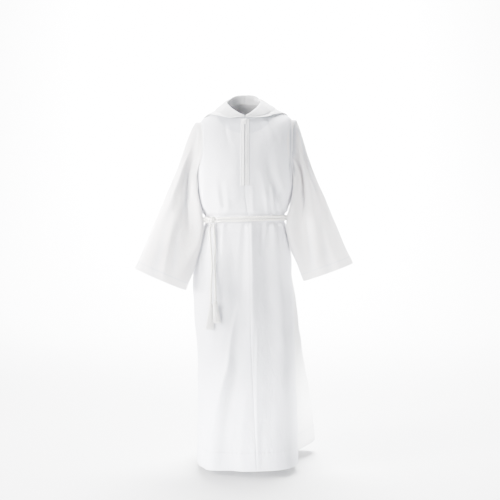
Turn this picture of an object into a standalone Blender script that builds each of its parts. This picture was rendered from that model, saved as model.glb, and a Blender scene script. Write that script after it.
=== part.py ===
"""A child's white hooded alb, hollow and in its worn shape, with its rope cincture.

Metres, +Z up. The origin is the centre of the neck opening, level with the base of the neck.
The front faces -Y and the wearer's left is +X. Every cloth wall follows one surface, worked
out from horizontal sections below the armpits and from a yoke between armpits and neck.
"""

import math

import bmesh
import bpy
import numpy as np
from mathutils import Matrix, Vector

# Main sizes of the garment.
HEM_HEIGHT = -1.095
ARMPIT_HEIGHT = -0.205
BELT_HEIGHT = -0.3455
BELT_TILT = 0.030  # rise of the belt line for each metre toward the wearer's left
WALL = 0.0012
HEM_WALL = 0.0021  # cloth folded double
SKIRT_HEM = 0.055
CUFF_HEM = 0.025
SEAM_GAP = 0.0003
SEAM_STRIP = 0.0035  # width of the narrow strip of faces along each seam
SQUARENESS = 0.85  # 1 gives elliptical sections, less gives fuller corners

# Body sections. Half widths are toward the wearer's left and right, depths toward the
# front and the back of the side seams.
SECTION_COLUMNS = ("height", "left", "right", "front", "back")
SECTIONS = (
    (-1.095, 0.1660, 0.1480, 0.130, 0.262),
    (-0.900, 0.1600, 0.1460, 0.128, 0.222),
    (-0.750, 0.1530, 0.1460, 0.124, 0.186),
    (-0.600, 0.1520, 0.1580, 0.118, 0.152),
    (-0.530, 0.1460, 0.1610, 0.114, 0.138),
    (-0.450, 0.1410, 0.1510, 0.108, 0.124),
    (-0.390, 0.1340, 0.1380, 0.100, 0.109),
    (-0.368, 0.1260, 0.1280, 0.091, 0.096),
    (-0.359, 0.1215, 0.1235, 0.086, 0.090),
    (-0.332, 0.1215, 0.1235, 0.086, 0.090),
    (-0.325, 0.1270, 0.1290, 0.092, 0.096),
    (-0.305, 0.1370, 0.1380, 0.098, 0.105),
    (-0.265, 0.1450, 0.1455, 0.103, 0.110),
    (-0.205, 0.1480, 0.1480, 0.104, 0.106),
)

# The neck opening and the yoke above the armpits.
NECK_HALF_WIDTH = 0.0650
NECK_FRONT = 0.0550
NECK_BACK = 0.0560
NECK_POINT_HEIGHT = -0.003
NECK_FRONT_HEIGHT = -0.036
NECK_BACK_HEIGHT = 0.010
SHOULDER_HEIGHT = {1: -0.037, -1: -0.052}  # at the outer end, wearer's left and right
CHEST_KNEE = -0.105
BACK_KNEE = -0.060
KNEE_SHARPNESS = 3.5

# The armholes, as fractions of the yoke's height and degrees either side of the side seam.
ARMHOLE_TOP = 0.66
ARMHOLE_FRONT = 31.0
ARMHOLE_BACK = 27.0
ARMHOLE_STEPS = 11

# The sleeves, for the wearer's left and right.
CUFF_CENTRE = {1: (0.2510, -0.060, -0.5056), -1: (-0.2560, -0.060, -0.5266)}
CUFF_OUTWARD = {1: (0.0737, 0.0, 0.0270), -1: (-0.0752, 0.0, 0.0330)}
CUFF_HALF_DEPTH = 0.043
SLEEVE_LENGTH = 0.47
SLEEVE_HANG = (0.02, -0.36, -1.0)
SLEEVE_HANG_BEHIND = 0.30
SHOULDER_EASE = 0.0006  # wider seam gap over the shoulder, where the cloth bends sharply
ARMPIT_CLEAR = 0.0009  # between the sleeve seam and the body's surface at the armpit
SLEEVE_CLEAR = 0.0030  # between sleeve and body where they hang side by side
SLEEVE_LEAVES = 0.26
SLEEVE_LEAVES_ARMPIT = 0.42
SLEEVE_ARRIVES = 0.42
SLEEVE_END = (0.38, -0.10, -0.92)
SLEEVE_CAP = {1: 0.020, -1: 0.017}  # how far it stands out and up under the shoulder point
SLEEVE_CAP_WAY = (0.86, 0.0, 0.50)
SLEEVE_LEAN = {1: 0.014, -1: 0.020}  # how far its inner side leans in above the belt
SLEEVE_LEAN_HEIGHT = -0.335
SLEEVE_OFF_BELT = {"left": 0.0090, "right": 0.0140}  # more room for the belt's cords

# Folds of the body. Angles are degrees from the centre front toward the wearer's left.
# A fold rises from the cloth, or sinks where its rise is negative.
FOLD_COLUMNS = ("top_angle", "low_angle", "top", "low", "spread", "top_rise", "low_rise")
BODY_FOLDS = (
    # skirt, front
    (5, 6, -0.37, -0.66, 7, 0.005, 0.003),
    (21, 24, -0.37, -0.62, 8, -0.006, -0.004),
    (38, 42, -0.37, -0.75, 9, 0.007, 0.005),
    (-8, -46, -0.58, -1.30, 13, 0.004, 0.012),
    (-2, -18, -0.62, -1.30, 12, -0.002, -0.008),
    (-52, -54, -0.38, -0.62, 9, -0.006, -0.004),
    (48, 46, -0.72, -1.30, 12, 0.002, 0.006),
    # above the belt, front
    (30, 31, -0.235, -0.335, 4, 0.001, 0.005),
    (41, 41, -0.225, -0.335, 4, 0.001, 0.006),
    (52, 51, -0.240, -0.335, 4, 0.001, 0.005),
    (-50, -52, -0.260, -0.335, 6, 0.001, 0.005),
    (-20, -20, -0.280, -0.335, 6, 0.000, 0.003),
    # skirt, back and sides
    (112, 133, -0.50, -1.30, 14, 0.004, 0.134),
    (96, 100, -0.50, -1.30, 10, -0.002, -0.016),
    (156, 163, -0.37, -1.30, 9, 0.005, 0.034),
    (180, 190, -0.37, -1.30, 9, 0.006, 0.040),
    (205, 218, -0.37, -1.30, 9, 0.005, 0.036),
    (232, 244, -0.37, -1.30, 9, 0.004, 0.022),
    # above the belt, back
    (150, 152, -0.230, -0.335, 5, 0.001, 0.005),
    (168, 168, -0.210, -0.335, 5, 0.001, 0.006),
    (188, 187, -0.220, -0.335, 5, 0.001, 0.006),
    (207, 206, -0.235, -0.335, 5, 0.001, 0.005),
    (246, 246, -0.250, -0.335, 6, 0.001, 0.004),
)
FOLD_FADE = 0.035  # height over which a fold begins and ends
BELT_CALM = 0.024  # the cords press the folds flat this far above and below the belt

# Folds of the sleeves. The turn runs round the sleeve from its top by the front: 0.25 is
# the front, 0.5 the armpit side and 0.75 the back.
SLEEVE_FOLD_COLUMNS = ("side", "start_turn", "end_turn", "start", "end", "spread", "rise")
SLEEVE_FOLDS = (
    (-1, 0.16, 0.17, 0.05, 0.75, 0.05, 0.006),
    (-1, 0.24, 0.30, 0.20, 1.05, 0.05, -0.006),
    (-1, 0.35, 0.20, 0.30, 0.85, 0.05, 0.005),
    (1, 0.30, 0.33, -0.10, 0.40, 0.035, -0.011),
    (1, 0.20, 0.30, 0.10, 1.05, 0.05, 0.007),
    (1, 0.10, 0.18, 0.15, 0.80, 0.05, -0.005),
    (-1, 0.72, 0.78, 0.10, 0.90, 0.06, 0.007),
    (-1, 0.86, 0.88, 0.20, 1.05, 0.05, -0.006),
    (1, 0.72, 0.76, 0.10, 0.90, 0.06, 0.007),
    (1, 0.86, 0.90, 0.20, 1.05, 0.05, -0.006),
)

# Rows of the body panels, from the hem up: heights, then fractions of the yoke.
HEM_ROWS = (HEM_HEIGHT, HEM_HEIGHT + SKIRT_HEM - 0.004)
SKIRT_ROWS = (-1.036, -0.975, -0.905, -0.835, -0.765, -0.695, -0.630, -0.570, -0.515, -0.465)
WAIST_ROWS = (-0.425, -0.395, -0.373, -0.359, -0.332, -0.321, -0.300, -0.272, -0.238)
SHOULDER_ROWS = (0.75, 0.86, 0.965, 1.0)
# Lines of the front from its centre, and of the back from its side, as fractions.
FRONT_LINES = (0, 0.035, 0.14, 0.25, 0.36, 0.47, 0.58, 0.69, 0.80, 0.91, 1.0)
BACK_LINES = (0, 0.09, 0.20, 0.31, 0.42, 0.53, 0.64, 0.76, 0.88, 1.0)
# Rows of the sleeves below their first strip, as fractions of the way to the cuff.
SLEEVE_ROWS = (0.022, 0.05, 0.12, 0.20, 0.28, 0.36, 0.44, 0.52, 0.60, 0.68, 0.76, 0.84, 0.905)

# The hood lies down round the shoulders and hangs as a pouch at the back. The reach is
# measured down the body from the neck seam. Pouch is 0 where the hood has one layer and 1
# where it turns up again at its lowest line; the mouth is where its free edge then ends.
HOOD_COLUMNS = ("angle", "stand", "reach", "mouth", "pouch")
HOOD = (
    (0, 0.006, 0.006, 0.006, 0.0),
    (25, 0.008, 0.017, 0.017, 0.0),
    (50, 0.010, 0.033, 0.033, 0.0),
    (75, 0.012, 0.050, 0.050, 0.0),
    (90, 0.013, 0.060, 0.060, 0.0),
    (105, 0.015, 0.072, 0.069, 0.12),
    (120, 0.018, 0.094, 0.072, 0.42),
    (135, 0.022, 0.135, 0.071, 0.80),
    (150, 0.025, 0.171, 0.067, 1.0),
    (165, 0.026, 0.198, 0.061, 1.0),
    (180, 0.026, 0.210, 0.058, 1.0),
)
HOOD_LIE = 0.0024  # height of the hood's middle over the shoulder cloth
HOOD_LIE_BACK = 0.0045  # how much higher the hood lies behind the shoulders
HOOD_POUCH = 0.030  # thickness of the hanging pouch
HOOD_ROLL_ROWS = (0, 0.6, 1.1, 1.55, 2.1)  # in heights of the stand
HOOD_ROWS = (0.14, 0.28, 0.41, 0.50, 0.565, 0.63, 0.72, 0.86, 1.0)  # of the rest
HOOD_LINES = (0, 9, 20, 32, 44, 56, 68, 79, 88, 96, 104, 112, 120, 128, 137, 147, 158, 169, 177, 180)

# The front zip: its tape behind the cloth, its coil in the gap, welts beside it.
ZIP_TOP = -0.0400
ZIP_BOTTOM = -0.242
ZIP_GAP_HALF = 0.0020
TAPE_HALF_WIDTH = 0.0110
TAPE_THICKNESS = 0.0010
COIL_HALF_WIDTH = 0.0014
COIL_THICKNESS = 0.0011
WELT_WIDTH = 0.0110
WELT_THICKNESS = 0.0010
LAYER_GAP = 0.0003
FACING_LINES = (0.035, 0.14, 0.25, 0.36, 0.47, 0.58)  # as FRONT_LINES
FACING_ROWS = (0.75, 0.86, 0.965, 0.992)

# The slider stands on the zip, and its pull tab turns on a bar under its bridge.
SLIDER_HEIGHT = -0.0500
SLIDER_WIDTH = 0.0062
SLIDER_LENGTH = 0.0090
SLIDER_LIFT = 0.0018  # the plate's back over the cloth
SLIDER_PLATE = 0.0014
SLIDER_STEM = 0.0020
HINGE_LIFT = 0.0045
BRIDGE_WIRE = 0.0014
BRIDGE_INSIDE = 0.0012  # from the hinge axis to the wire
TAB_WIDTH = 0.0052
TAB_LENGTH = 0.0170
TAB_THICKNESS = 0.0011
TAB_WINDOW_WIDTH = 0.0026
TAB_WINDOW_LENGTH = 0.0042

# The cincture: one cord, doubled round the waist, with a wrapped knot and two tassels.
CORD_DIAMETER = 0.0080
CORD_SPACING = 0.0086
CORD_STANDOFF = 0.0010
BELT_FRACTIONS = (0, 0.006, 0.013, 0.028)  # near each end, then even
BELT_POINTS = 38
BELT_OFF_KNOT = 27.0  # degrees each side of the knot where a turn leaves the cloth
BELT_TUCK = 0.0030  # the turns enter the knot this far inside its middle
KNOT_ANGLE = -50.0
KNOT_LENGTH = 0.044
KNOT_RADIUS = 0.0090
KNOT_BULGE = 0.0016
KNOT_WRAPS = 5
KNOT_TURN_STEPS = 14
END_COLUMNS = ("x", "z", "off")
# Routes of the two hanging ends below the knot: across, up, and off the skirt's cloth.
ENDS = {
    "cord_end_front": (
        (-0.1000, -0.3800, 0.0130),
        (-0.0960, -0.4300, 0.0120),
        (-0.0910, -0.4850, 0.0160),
        (-0.0960, -0.5350, 0.0120),
        (-0.0975, -0.5850, 0.0100),
    ),
    "cord_end_back": (
        (-0.0890, -0.3800, 0.0100),
        (-0.0860, -0.4300, 0.0062),
        (-0.0885, -0.4850, 0.0058),
        (-0.0850, -0.5350, 0.0100),
        (-0.0825, -0.5760, 0.0150),
    ),
}
END_STARTS = {"cord_end_front": 0.0035, "cord_end_back": 0.0150}  # along the knot
END_POINTS = 10
TASSEL_HEAD = 0.0130
TASSEL_HEAD_RADIUS = 0.0066
TASSEL_HEAD_TAPER = 0.72
TASSEL_STRANDS = 5  # along each side of the block of strands
STRAND_SHRINK = 0.00030
STRAND_STEPS = (0.40, 0.75, 1.0)
STRAND_WAVE = 0.0008
TASSEL_COLUMNS = ("name", "cord", "strands", "spread_x", "spread_y", "drift")
TASSELS = (
    ("tassel_front", "cord_end_front", 0.067, 0.0060, 0.0015, -0.003),
    ("tassel_back", "cord_end_back", 0.056, 0.0045, 0.0010, 0.006),
)

CLOTH_WHITE = (0.90, 0.91, 0.92)
CLOTH_ROUGHNESS = 0.85
CORD_WHITE = (0.88, 0.88, 0.84)
ZIP_WHITE = (0.80, 0.80, 0.80)


# Numbers and curves.

def column(table, columns, name):
    """One named column of a table."""
    return np.array([row[columns.index(name)] for row in table], float)


def smooth_value(places, values, place):
    """The value at a place on a smooth curve through a table's values."""
    place = min(max(place, places[0]), places[-1])
    slopes = np.gradient(values, places)
    index = min(int(np.searchsorted(places, place, side="right")) - 1, len(places) - 2)
    step = places[index + 1] - places[index]
    t = (place - places[index]) / step
    start, end = values[index], values[index + 1]
    secant = (end - start) / step
    leave = limited_slope(slopes[index], secant)
    arrive = limited_slope(slopes[index + 1], secant)
    return hermite(start, leave * step, end, arrive * step, t)


def limited_slope(slope, secant):
    """A slope kept small enough that the curve doesn't overshoot its table."""
    if slope * secant <= 0:
        return 0.0
    return math.copysign(min(abs(slope), 3 * abs(secant)), slope)


def hermite(start, leave, end, arrive, t):
    """A point on the cubic with these ends and end directions."""
    return (
        start * (1 + 2 * t) * (1 - t) ** 2
        + leave * t * (1 - t) ** 2
        + end * t * t * (3 - 2 * t)
        - arrive * t * t * (1 - t)
    )


def unit(vector):
    return vector / np.linalg.norm(vector)


def signed_power(value, power):
    return math.copysign(abs(value) ** power, value)


def ramp(value, start, end):
    """0 before start, 1 after end and smooth between."""
    t = min(max((value - start) / (end - start), 0.0), 1.0)
    return t * t * (3 - 2 * t)


def rounded_curve(points, passes=3):
    """Cuts the corners of a line of points again and again."""
    for _ in range(passes):
        early = points[:-1] * 0.75 + points[1:] * 0.25
        late = points[:-1] * 0.25 + points[1:] * 0.75
        middle = np.stack([early, late], axis=1).reshape(-1, 3)
        points = np.vstack([points[:1], middle, points[-1:]])
    return points


def along_curve(points, fractions):
    """Points at fractions of the length of a line of points."""
    steps = np.linalg.norm(np.diff(points, axis=0), axis=1)
    lengths = np.concatenate([[0.0], np.cumsum(steps)])
    places = np.asarray(fractions) * lengths[-1]
    return np.stack([np.interp(places, lengths, points[:, axis]) for axis in range(3)], axis=-1)


# The body's surface. A level is metres below the armpits where it is negative, and the
# fraction of the way from the armpits to the neck seam where it is positive.

HEM_LEVEL = HEM_HEIGHT - ARMPIT_HEIGHT
SECTION_HEIGHTS = column(SECTIONS, SECTION_COLUMNS, "height")
SECTION_VALUES = {
    name: column(SECTIONS, SECTION_COLUMNS, name) for name in SECTION_COLUMNS[1:]
}


def section_point(angle, height):
    across = math.sin(math.radians(angle))
    ahead = math.cos(math.radians(angle))
    width = SECTION_VALUES["left" if across > 0 else "right"]
    depth = SECTION_VALUES["front" if ahead > 0 else "back"]
    x = smooth_value(SECTION_HEIGHTS, width, height) * signed_power(across, SQUARENESS)
    y = -smooth_value(SECTION_HEIGHTS, depth, height) * signed_power(ahead, SQUARENESS)
    tilt = BELT_TILT * math.exp(-(((height - BELT_HEIGHT) / 0.12) ** 2))
    return np.array([x, y, height + tilt * x])


def neck_point(angle):
    across = math.sin(math.radians(angle))
    ahead = math.cos(math.radians(angle))
    depth = NECK_FRONT if ahead > 0 else NECK_BACK
    end_height = NECK_FRONT_HEIGHT if ahead > 0 else NECK_BACK_HEIGHT
    height = NECK_POINT_HEIGHT + (end_height - NECK_POINT_HEIGHT) * abs(ahead) ** 1.5
    return np.array([NECK_HALF_WIDTH * across, -depth * ahead, height])


def yoke_curve(angle):
    """The line up the body from the armpit level to the neck seam, as a conic."""
    across = math.sin(math.radians(angle))
    ahead = math.cos(math.radians(angle))
    low = section_point(angle, ARMPIT_HEIGHT)
    top = neck_point(angle)
    knee = low * 0.95 + top * 0.05
    centre_height = CHEST_KNEE if ahead > 0 else BACK_KNEE
    shoulder = SHOULDER_HEIGHT[1 if across > 0 else -1]
    knee[2] = centre_height + (shoulder - centre_height) * across**2
    weight = 1 + KNEE_SHARPNESS * across**4
    t = np.linspace(0, 1, 33)[:, None]
    parts = ((1 - t) ** 2, 2 * weight * t * (1 - t), t**2)
    return (parts[0] * low + parts[1] * knee + parts[2] * top) / sum(parts)


def plain_point(angle, level):
    """The body's surface without folds."""
    if level <= 0:
        return section_point(angle, ARMPIT_HEIGHT + level)
    return along_curve(yoke_curve(angle), [min(level, 1.0)])[0]


def outward(angle, level):
    """The direction out of the body's plain surface."""
    step = 0.004
    low = max(level - step, HEM_LEVEL)
    high = min(level + step, 1.0)
    up = plain_point(angle, high) - plain_point(angle, low)
    turn = plain_point(angle + 0.4, level) - plain_point(angle - 0.4, level)
    return unit(np.cross(turn, up))


def fold_rise(angle, level):
    """How far the folds lift the cloth here."""
    height = ARMPIT_HEIGHT + (level if level <= 0 else level * 0.2)
    total = 0.0
    for row in BODY_FOLDS:
        fold = dict(zip(FOLD_COLUMNS, row))
        part = (fold["top"] - height) / (fold["top"] - fold["low"])
        fade = FOLD_FADE / (fold["top"] - fold["low"])
        shown = ramp(part, -fade, fade) * (1 - ramp(part, 1 - fade, 1 + fade))
        if shown == 0:
            continue
        centre = fold["top_angle"] + (fold["low_angle"] - fold["top_angle"]) * part
        away = (angle - centre + 180) % 360 - 180
        rise = fold["top_rise"] + (fold["low_rise"] - fold["top_rise"]) * part
        total += rise * shown * math.exp(-((away / fold["spread"]) ** 2))
    calm = 1 - math.exp(-(((height - BELT_HEIGHT) / BELT_CALM) ** 4))
    return total * calm


def body_point(angle, level, off=0.0):
    """The body's outer surface with its folds, or a point off it."""
    lift = fold_rise(angle, level) + off
    return plain_point(angle, level) + outward(angle, level) * lift


# Sleeves.

def armhole_place(side, turn, shrink=1.0):
    """Angle and level of a point of the armhole, or of a smaller loop inside it."""
    around = 2 * math.pi * turn
    spread = ARMHOLE_FRONT if math.sin(around) > 0 else ARMHOLE_BACK
    angle = 90 - spread * math.sin(around) * shrink
    level = ARMHOLE_TOP / 2 * (1 + math.cos(around) * shrink)
    return side * angle, max(level, 1e-6)


def cuff_point(side, turn):
    around = 2 * math.pi * turn
    out = np.array(CUFF_OUTWARD[side]) * signed_power(math.cos(around), 0.9)
    ahead = np.array([0.0, -CUFF_HALF_DEPTH, 0.0]) * signed_power(math.sin(around), 0.9)
    return np.array(CUFF_CENTRE[side]) + out + ahead


def armpit_share(turn):
    """1 at the armpit, 0 at the top."""
    return ((1 - math.cos(2 * math.pi * turn)) / 2) ** 3


def sleeve_start(side, turn, far):
    """A point on the sleeve's first strip, and the way the cloth leaves the armhole."""
    angle, level = armhole_place(side, turn)
    edge = plain_point(angle, level)
    inner = plain_point(*armhole_place(side, turn, 0.97))
    share = armpit_share(turn)
    behind = max(0.0, -math.sin(2 * math.pi * turn))
    hang = unit((np.array(SLEEVE_HANG) + (SLEEVE_HANG_BEHIND * behind, 0, 0)) * (side, 1, 1))
    leave = unit(unit(inner - edge) * (1 - share) + hang * share)
    clear = outward(angle, level) * (ARMPIT_CLEAR * share)
    return edge + clear + leave * far, leave


def sleeve_plain(side, turn, along):
    start, leave = sleeve_start(side, turn, SEAM_STRIP)
    share = armpit_share(turn)
    speed = SLEEVE_LEAVES + (SLEEVE_LEAVES_ARMPIT - SLEEVE_LEAVES) * share
    arrive = unit(np.array(SLEEVE_END) * (side, 1, 1)) * SLEEVE_ARRIVES
    point = hermite(start, leave * speed, cuff_point(side, turn), arrive, along)
    over = ((turn + 0.5) % 1 - 0.5) / 0.16
    cap = SLEEVE_CAP[side] * math.exp(-(over**2)) * ramp(along, 0.0, 0.036) * (1 - ramp(along, 0.07, 0.42))
    lean = SLEEVE_LEAN[side] * share * math.exp(-(((point[2] - SLEEVE_LEAN_HEIGHT) / 0.085) ** 2))
    point = point + np.array(SLEEVE_CAP_WAY) * (side, 1, 1) * cap - np.array((side * lean, 0, 0))
    return beside_body(point)


def beside_body(point):
    """A point moved straight out of the body's section until it is clear of it."""
    x, y, height = point
    if height > ARMPIT_HEIGHT:
        return point
    side = "left" if x > 0 else "right"
    width = SECTION_VALUES[side]
    depth = SECTION_VALUES["front" if y < 0 else "back"]
    clear = SLEEVE_CLEAR * ramp(ARMPIT_HEIGHT - height, -0.010, 0.020)
    clear += SLEEVE_OFF_BELT[side] * math.exp(-(((height - BELT_HEIGHT) / 0.026) ** 4))
    width = smooth_value(SECTION_HEIGHTS, width, height) + clear
    depth = smooth_value(SECTION_HEIGHTS, depth, height) + clear
    power = 2 / SQUARENESS
    share = (abs(x) / width) ** power + (abs(y) / depth) ** power
    if share >= 1:
        return point
    return point * (share ** (-1 / power), share ** (-1 / power), 1)


def sleeve_fold(side, turn, along):
    total = 0.0
    for row in SLEEVE_FOLDS:
        fold = dict(zip(SLEEVE_FOLD_COLUMNS, row))
        if fold["side"] != side:
            continue
        part = (along - fold["start"]) / (fold["end"] - fold["start"])
        shown = ramp(part, 0.0, 0.3) * (1 - ramp(part, 0.7, 1.0))
        centre = fold["start_turn"] + (fold["end_turn"] - fold["start_turn"]) * part
        away = (turn - centre + 0.5) % 1 - 0.5
        total += fold["rise"] * shown * math.exp(-((away / fold["spread"]) ** 2))
    return total * ramp(along, 0.02, 0.12)


def sleeve_point(side, turn, along):
    step = 0.01
    ahead = sleeve_plain(side, turn, min(along + step, 1.0))
    behind = sleeve_plain(side, turn, max(along - step, 0.0))
    around = sleeve_plain(side, turn + step, along) - sleeve_plain(side, turn - step, along)
    out = unit(np.cross(around, ahead - behind)) * side
    return sleeve_plain(side, turn, along) + out * sleeve_fold(side, turn, along)


# Hood.

HOOD_ANGLES = column(HOOD, HOOD_COLUMNS, "angle")


def hood_value(name, angle):
    return smooth_value(HOOD_ANGLES, column(HOOD, HOOD_COLUMNS, name), abs(angle))


def below_neck(angle, reach, off):
    """A point off the body's plain surface, so far down it from the neck seam."""
    curve = yoke_curve(angle)
    length = np.linalg.norm(np.diff(curve, axis=0), axis=1).sum()
    level = 1 - reach / length
    return plain_point(angle, level) + outward(angle, level) * off


def hood_curve(angle):
    """The line of the hood's cloth from the neck seam over its roll to its free edge."""
    stand = hood_value("stand", angle)
    reach = hood_value("reach", angle)
    mouth = hood_value("mouth", angle)
    pouch = hood_value("pouch", angle)
    seam = neck_point(angle)
    out = unit(seam * (1, 1, 0))
    up = np.array([0.0, 0.0, 1.0])
    lie = HOOD_LIE + HOOD_LIE_BACK * ramp(abs(angle), 75, 112)
    points = [
        seam + up * SEAM_GAP,
        seam + up * stand * 0.7 - out * 0.0008,
        seam + up * stand * 1.15 + out * 0.0010,
        seam + up * stand * 1.05 + out * 0.0060,
    ]
    first = min(0.018, reach * 0.6)
    for part in (0, 0.15, 0.3, 0.45, 0.6, 0.75, 0.9):
        over_roll = stand * 0.3 * (1 - ramp(part, 0, 0.3))
        points.append(below_neck(angle, first + (reach - first) * part, lie + over_roll))
    points.append(below_neck(angle, reach + 0.004 * pouch, lie))
    points.append(below_neck(angle, reach + 0.010 * pouch, lie + HOOD_POUCH * 0.40 * pouch))
    points.append(below_neck(angle, reach + 0.004 * pouch, lie + HOOD_POUCH * 0.85 * pouch))
    for part in (0.2, 0.4, 0.6, 0.8, 1.0):
        back_up = reach + (mouth - reach) * part * pouch
        points.append(below_neck(angle, back_up, lie + HOOD_POUCH * pouch))
    return rounded_curve(np.array(points))


# Building.

def clear_scene():
    for thing in list(bpy.data.objects):
        bpy.data.objects.remove(thing)


def make_collection(name):
    collection = bpy.data.collections.new(name)
    bpy.context.scene.collection.children.link(collection)
    return collection


def make_material(name, colour, roughness):
    material = bpy.data.materials.new(name)
    material.use_nodes = True
    shader = material.node_tree.nodes["Principled BSDF"]
    shader.inputs["Base Color"].default_value = (*colour, 1)
    shader.inputs["Roughness"].default_value = roughness
    return material


def add_object(name, data, material, collection):
    thing = bpy.data.objects.new(name, data)
    if material is not None:
        data.materials.append(material)
    collection.objects.link(thing)
    return thing


def shaded(mesh):
    mesh.shade_smooth()
    mesh.set_sharp_from_angle(angle=math.radians(40))


def pulled(points, amount):
    """Draws a grid's first line toward its second."""
    way = points[1] - points[0]
    way /= np.linalg.norm(way, axis=-1, keepdims=True)
    points[0] += way * np.asarray(amount)[..., None]


def cloth_grid(name, points, material, collection, thick_rows=(), closed=False):
    """A wall of cloth on a grid of points, given as lines across and then rows up."""
    across, up = points.shape[0] - 1, points.shape[1] - 1
    shape = bmesh.new()
    bmesh.ops.create_grid(shape, x_segments=across, y_segments=up, size=0.5)
    thick = []
    for corner in shape.verts:
        i = round((corner.co.x + 0.5) * across)
        j = round((corner.co.y + 0.5) * up)
        corner.co = points[i, j]
        if j in thick_rows:
            thick.append(corner.index)
    mesh = bpy.data.meshes.new(name)
    shape.verts.index_update()
    shape.to_mesh(mesh)
    shape.free()
    thing = add_object(name, mesh, material, collection)
    group = thing.vertex_groups.new(name="hem")
    group.add(thick_indices(mesh, points, thick_rows), 1.0, "REPLACE")
    if closed:
        weld = thing.modifiers.new("close the tube", "WELD")
        weld.merge_threshold = 0.00002
    wall = thing.modifiers.new("wall", "SOLIDIFY")
    wall.thickness = HEM_WALL
    wall.offset = -1
    wall.vertex_group = "hem"
    wall.thickness_vertex_group = WALL / HEM_WALL
    shaded(mesh)
    return thing


def thick_indices(mesh, points, rows):
    """The vertices of a grid's hem rows."""
    if not rows:
        return []
    hem = points[:, list(rows)].reshape(-1, 3)
    found = []
    for corner in mesh.vertices:
        gaps = np.abs(hem - np.array(corner.co)).sum(axis=1)
        if gaps.min() < 1e-6:
            found.append(corner.index)
    return found


def grid_of(function, lines, rows):
    return np.array([[function(line, row) for row in rows] for line in lines])


def body_levels():
    lower = [height - ARMPIT_HEIGHT for height in HEM_ROWS + SKIRT_ROWS + WAIST_ROWS]
    armhole = [
        ARMHOLE_TOP / 2 * (1 - math.cos(math.pi * step / ARMHOLE_STEPS))
        for step in range(ARMHOLE_STEPS + 1)
    ]
    return lower + armhole + list(SHOULDER_ROWS)


def side_angle(level, spread):
    """Where a panel ends: at the side seam, or at the armhole beside it."""
    if not 0 < level < ARMHOLE_TOP:
        return 90.0
    across = 2 * level / ARMHOLE_TOP - 1
    return 90 - spread * math.sqrt(1 - across**2)


def strip_next_to(points):
    """Moves a grid's second line to lie a narrow strip from the first."""
    way = points[1] - points[0]
    far = np.linalg.norm(way, axis=-1, keepdims=True)
    points[1] = points[0] + way * np.minimum(SEAM_STRIP / far, 0.8)


def front_points(side):
    """Points of a front, from its centre line to the side seam and armhole."""
    levels = body_levels()

    def point(line, level):
        return body_point(side * line * side_angle(level, ARMHOLE_FRONT), level)

    points = grid_of(point, FRONT_LINES, levels)
    strip_next_to(points[::-1])
    heights = points[0, :, 2]
    open_half = [
        SEAM_GAP / 2 + (ZIP_GAP_HALF - SEAM_GAP / 2) * ramp(h, ZIP_BOTTOM - 0.012, ZIP_BOTTOM)
        for h in heights
    ]
    pulled(points, open_half)
    pulled(points[::-1], SEAM_GAP / 2)
    lower_neck_edge(points)
    return points if side == 1 else points[::-1]


def lower_neck_edge(points):
    """Leaves half a seam gap between the neck edge and the hood."""
    rows = points.transpose(1, 0, 2)[::-1]
    pulled(rows, SEAM_GAP / 2)


def back_points():
    levels = body_levels()
    lines = [-1 + line for line in BACK_LINES[:-1]] + [1 - line for line in BACK_LINES[::-1]]

    def point(line, level):
        return body_point(180 + line * side_angle(level, ARMHOLE_BACK), level)

    points = grid_of(point, lines, levels)
    strip_next_to(points)
    strip_next_to(points[::-1])
    pulled(points, SEAM_GAP / 2)
    pulled(points[::-1], SEAM_GAP / 2)
    lower_neck_edge(points)
    return points


def make_body(cloth, collection):
    hem_rows = (0, 1)
    cloth_grid("front_left", front_points(1), cloth, collection, hem_rows)
    cloth_grid("front_right", front_points(-1), cloth, collection, hem_rows)
    cloth_grid("back", back_points(), cloth, collection, hem_rows)


def make_sleeve(side, name, cloth, collection):
    hem_share = CUFF_HEM / SLEEVE_LENGTH
    rows = SLEEVE_ROWS + (0.994 - hem_share, 1 - hem_share, 1.0)
    turns = [step / (2 * ARMHOLE_STEPS) for step in range(2 * ARMHOLE_STEPS + 1)]
    points = []
    for turn in turns:
        near_top = math.cos(math.pi * turn) ** 8
        first = sleeve_start(side, turn, SEAM_GAP / 2 + SHOULDER_EASE * near_top)[0]
        second = sleeve_start(side, turn, SEAM_STRIP)[0]
        rest = [sleeve_point(side, turn, row) for row in rows]
        points.append([first, second] + rest)
    points = np.array(points)
    points[-1] = points[0]
    count = points.shape[1]
    points = points if side == 1 else points[::-1]
    cloth_grid(name, points, cloth, collection, (count - 2, count - 1), closed=True)


def hood_line(angle):
    """Points of the hood from its seam over the roll, and on to its free edge."""
    curve = hood_curve(angle)
    length = np.linalg.norm(np.diff(curve, axis=0), axis=1).sum()
    roll = [row * hood_value("stand", angle) / length for row in HOOD_ROLL_ROWS]
    squeeze = min(1.0, 0.6 / roll[-1])
    roll = [row * squeeze for row in roll]
    rest = [roll[-1] + (1 - roll[-1]) * row for row in HOOD_ROWS]
    return along_curve(curve, roll + rest)


def make_hood(side, name, cloth, collection):
    points = np.array([hood_line(side * angle) for angle in HOOD_LINES])
    strip_next_to(points[::-1])
    pulled(points, ZIP_GAP_HALF)
    pulled(points[::-1], SEAM_GAP)
    points = points[::-1] if side == 1 else points
    thing = cloth_grid(name, points, cloth, collection)
    thing.modifiers["wall"].offset = 0


# Layers on and behind the fronts.

def front_place(x, height):
    """Angle and level of the point of the plain front that is so far across and so high."""
    angle = 0.0
    for _ in range(3):
        level = found(lambda trial: plain_point(angle, trial)[2], height, HEM_LEVEL, 1.0)
        angle = found(lambda trial: plain_point(trial, level)[0], x, -85.0, 85.0)
    return angle, level


def found(rising, wanted, low, high):
    """Where a rising function reaches a value, by halving."""
    for _ in range(22):
        middle = (low + high) / 2
        if rising(middle) < wanted:
            low = middle
        else:
            high = middle
    return (low + high) / 2


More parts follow.
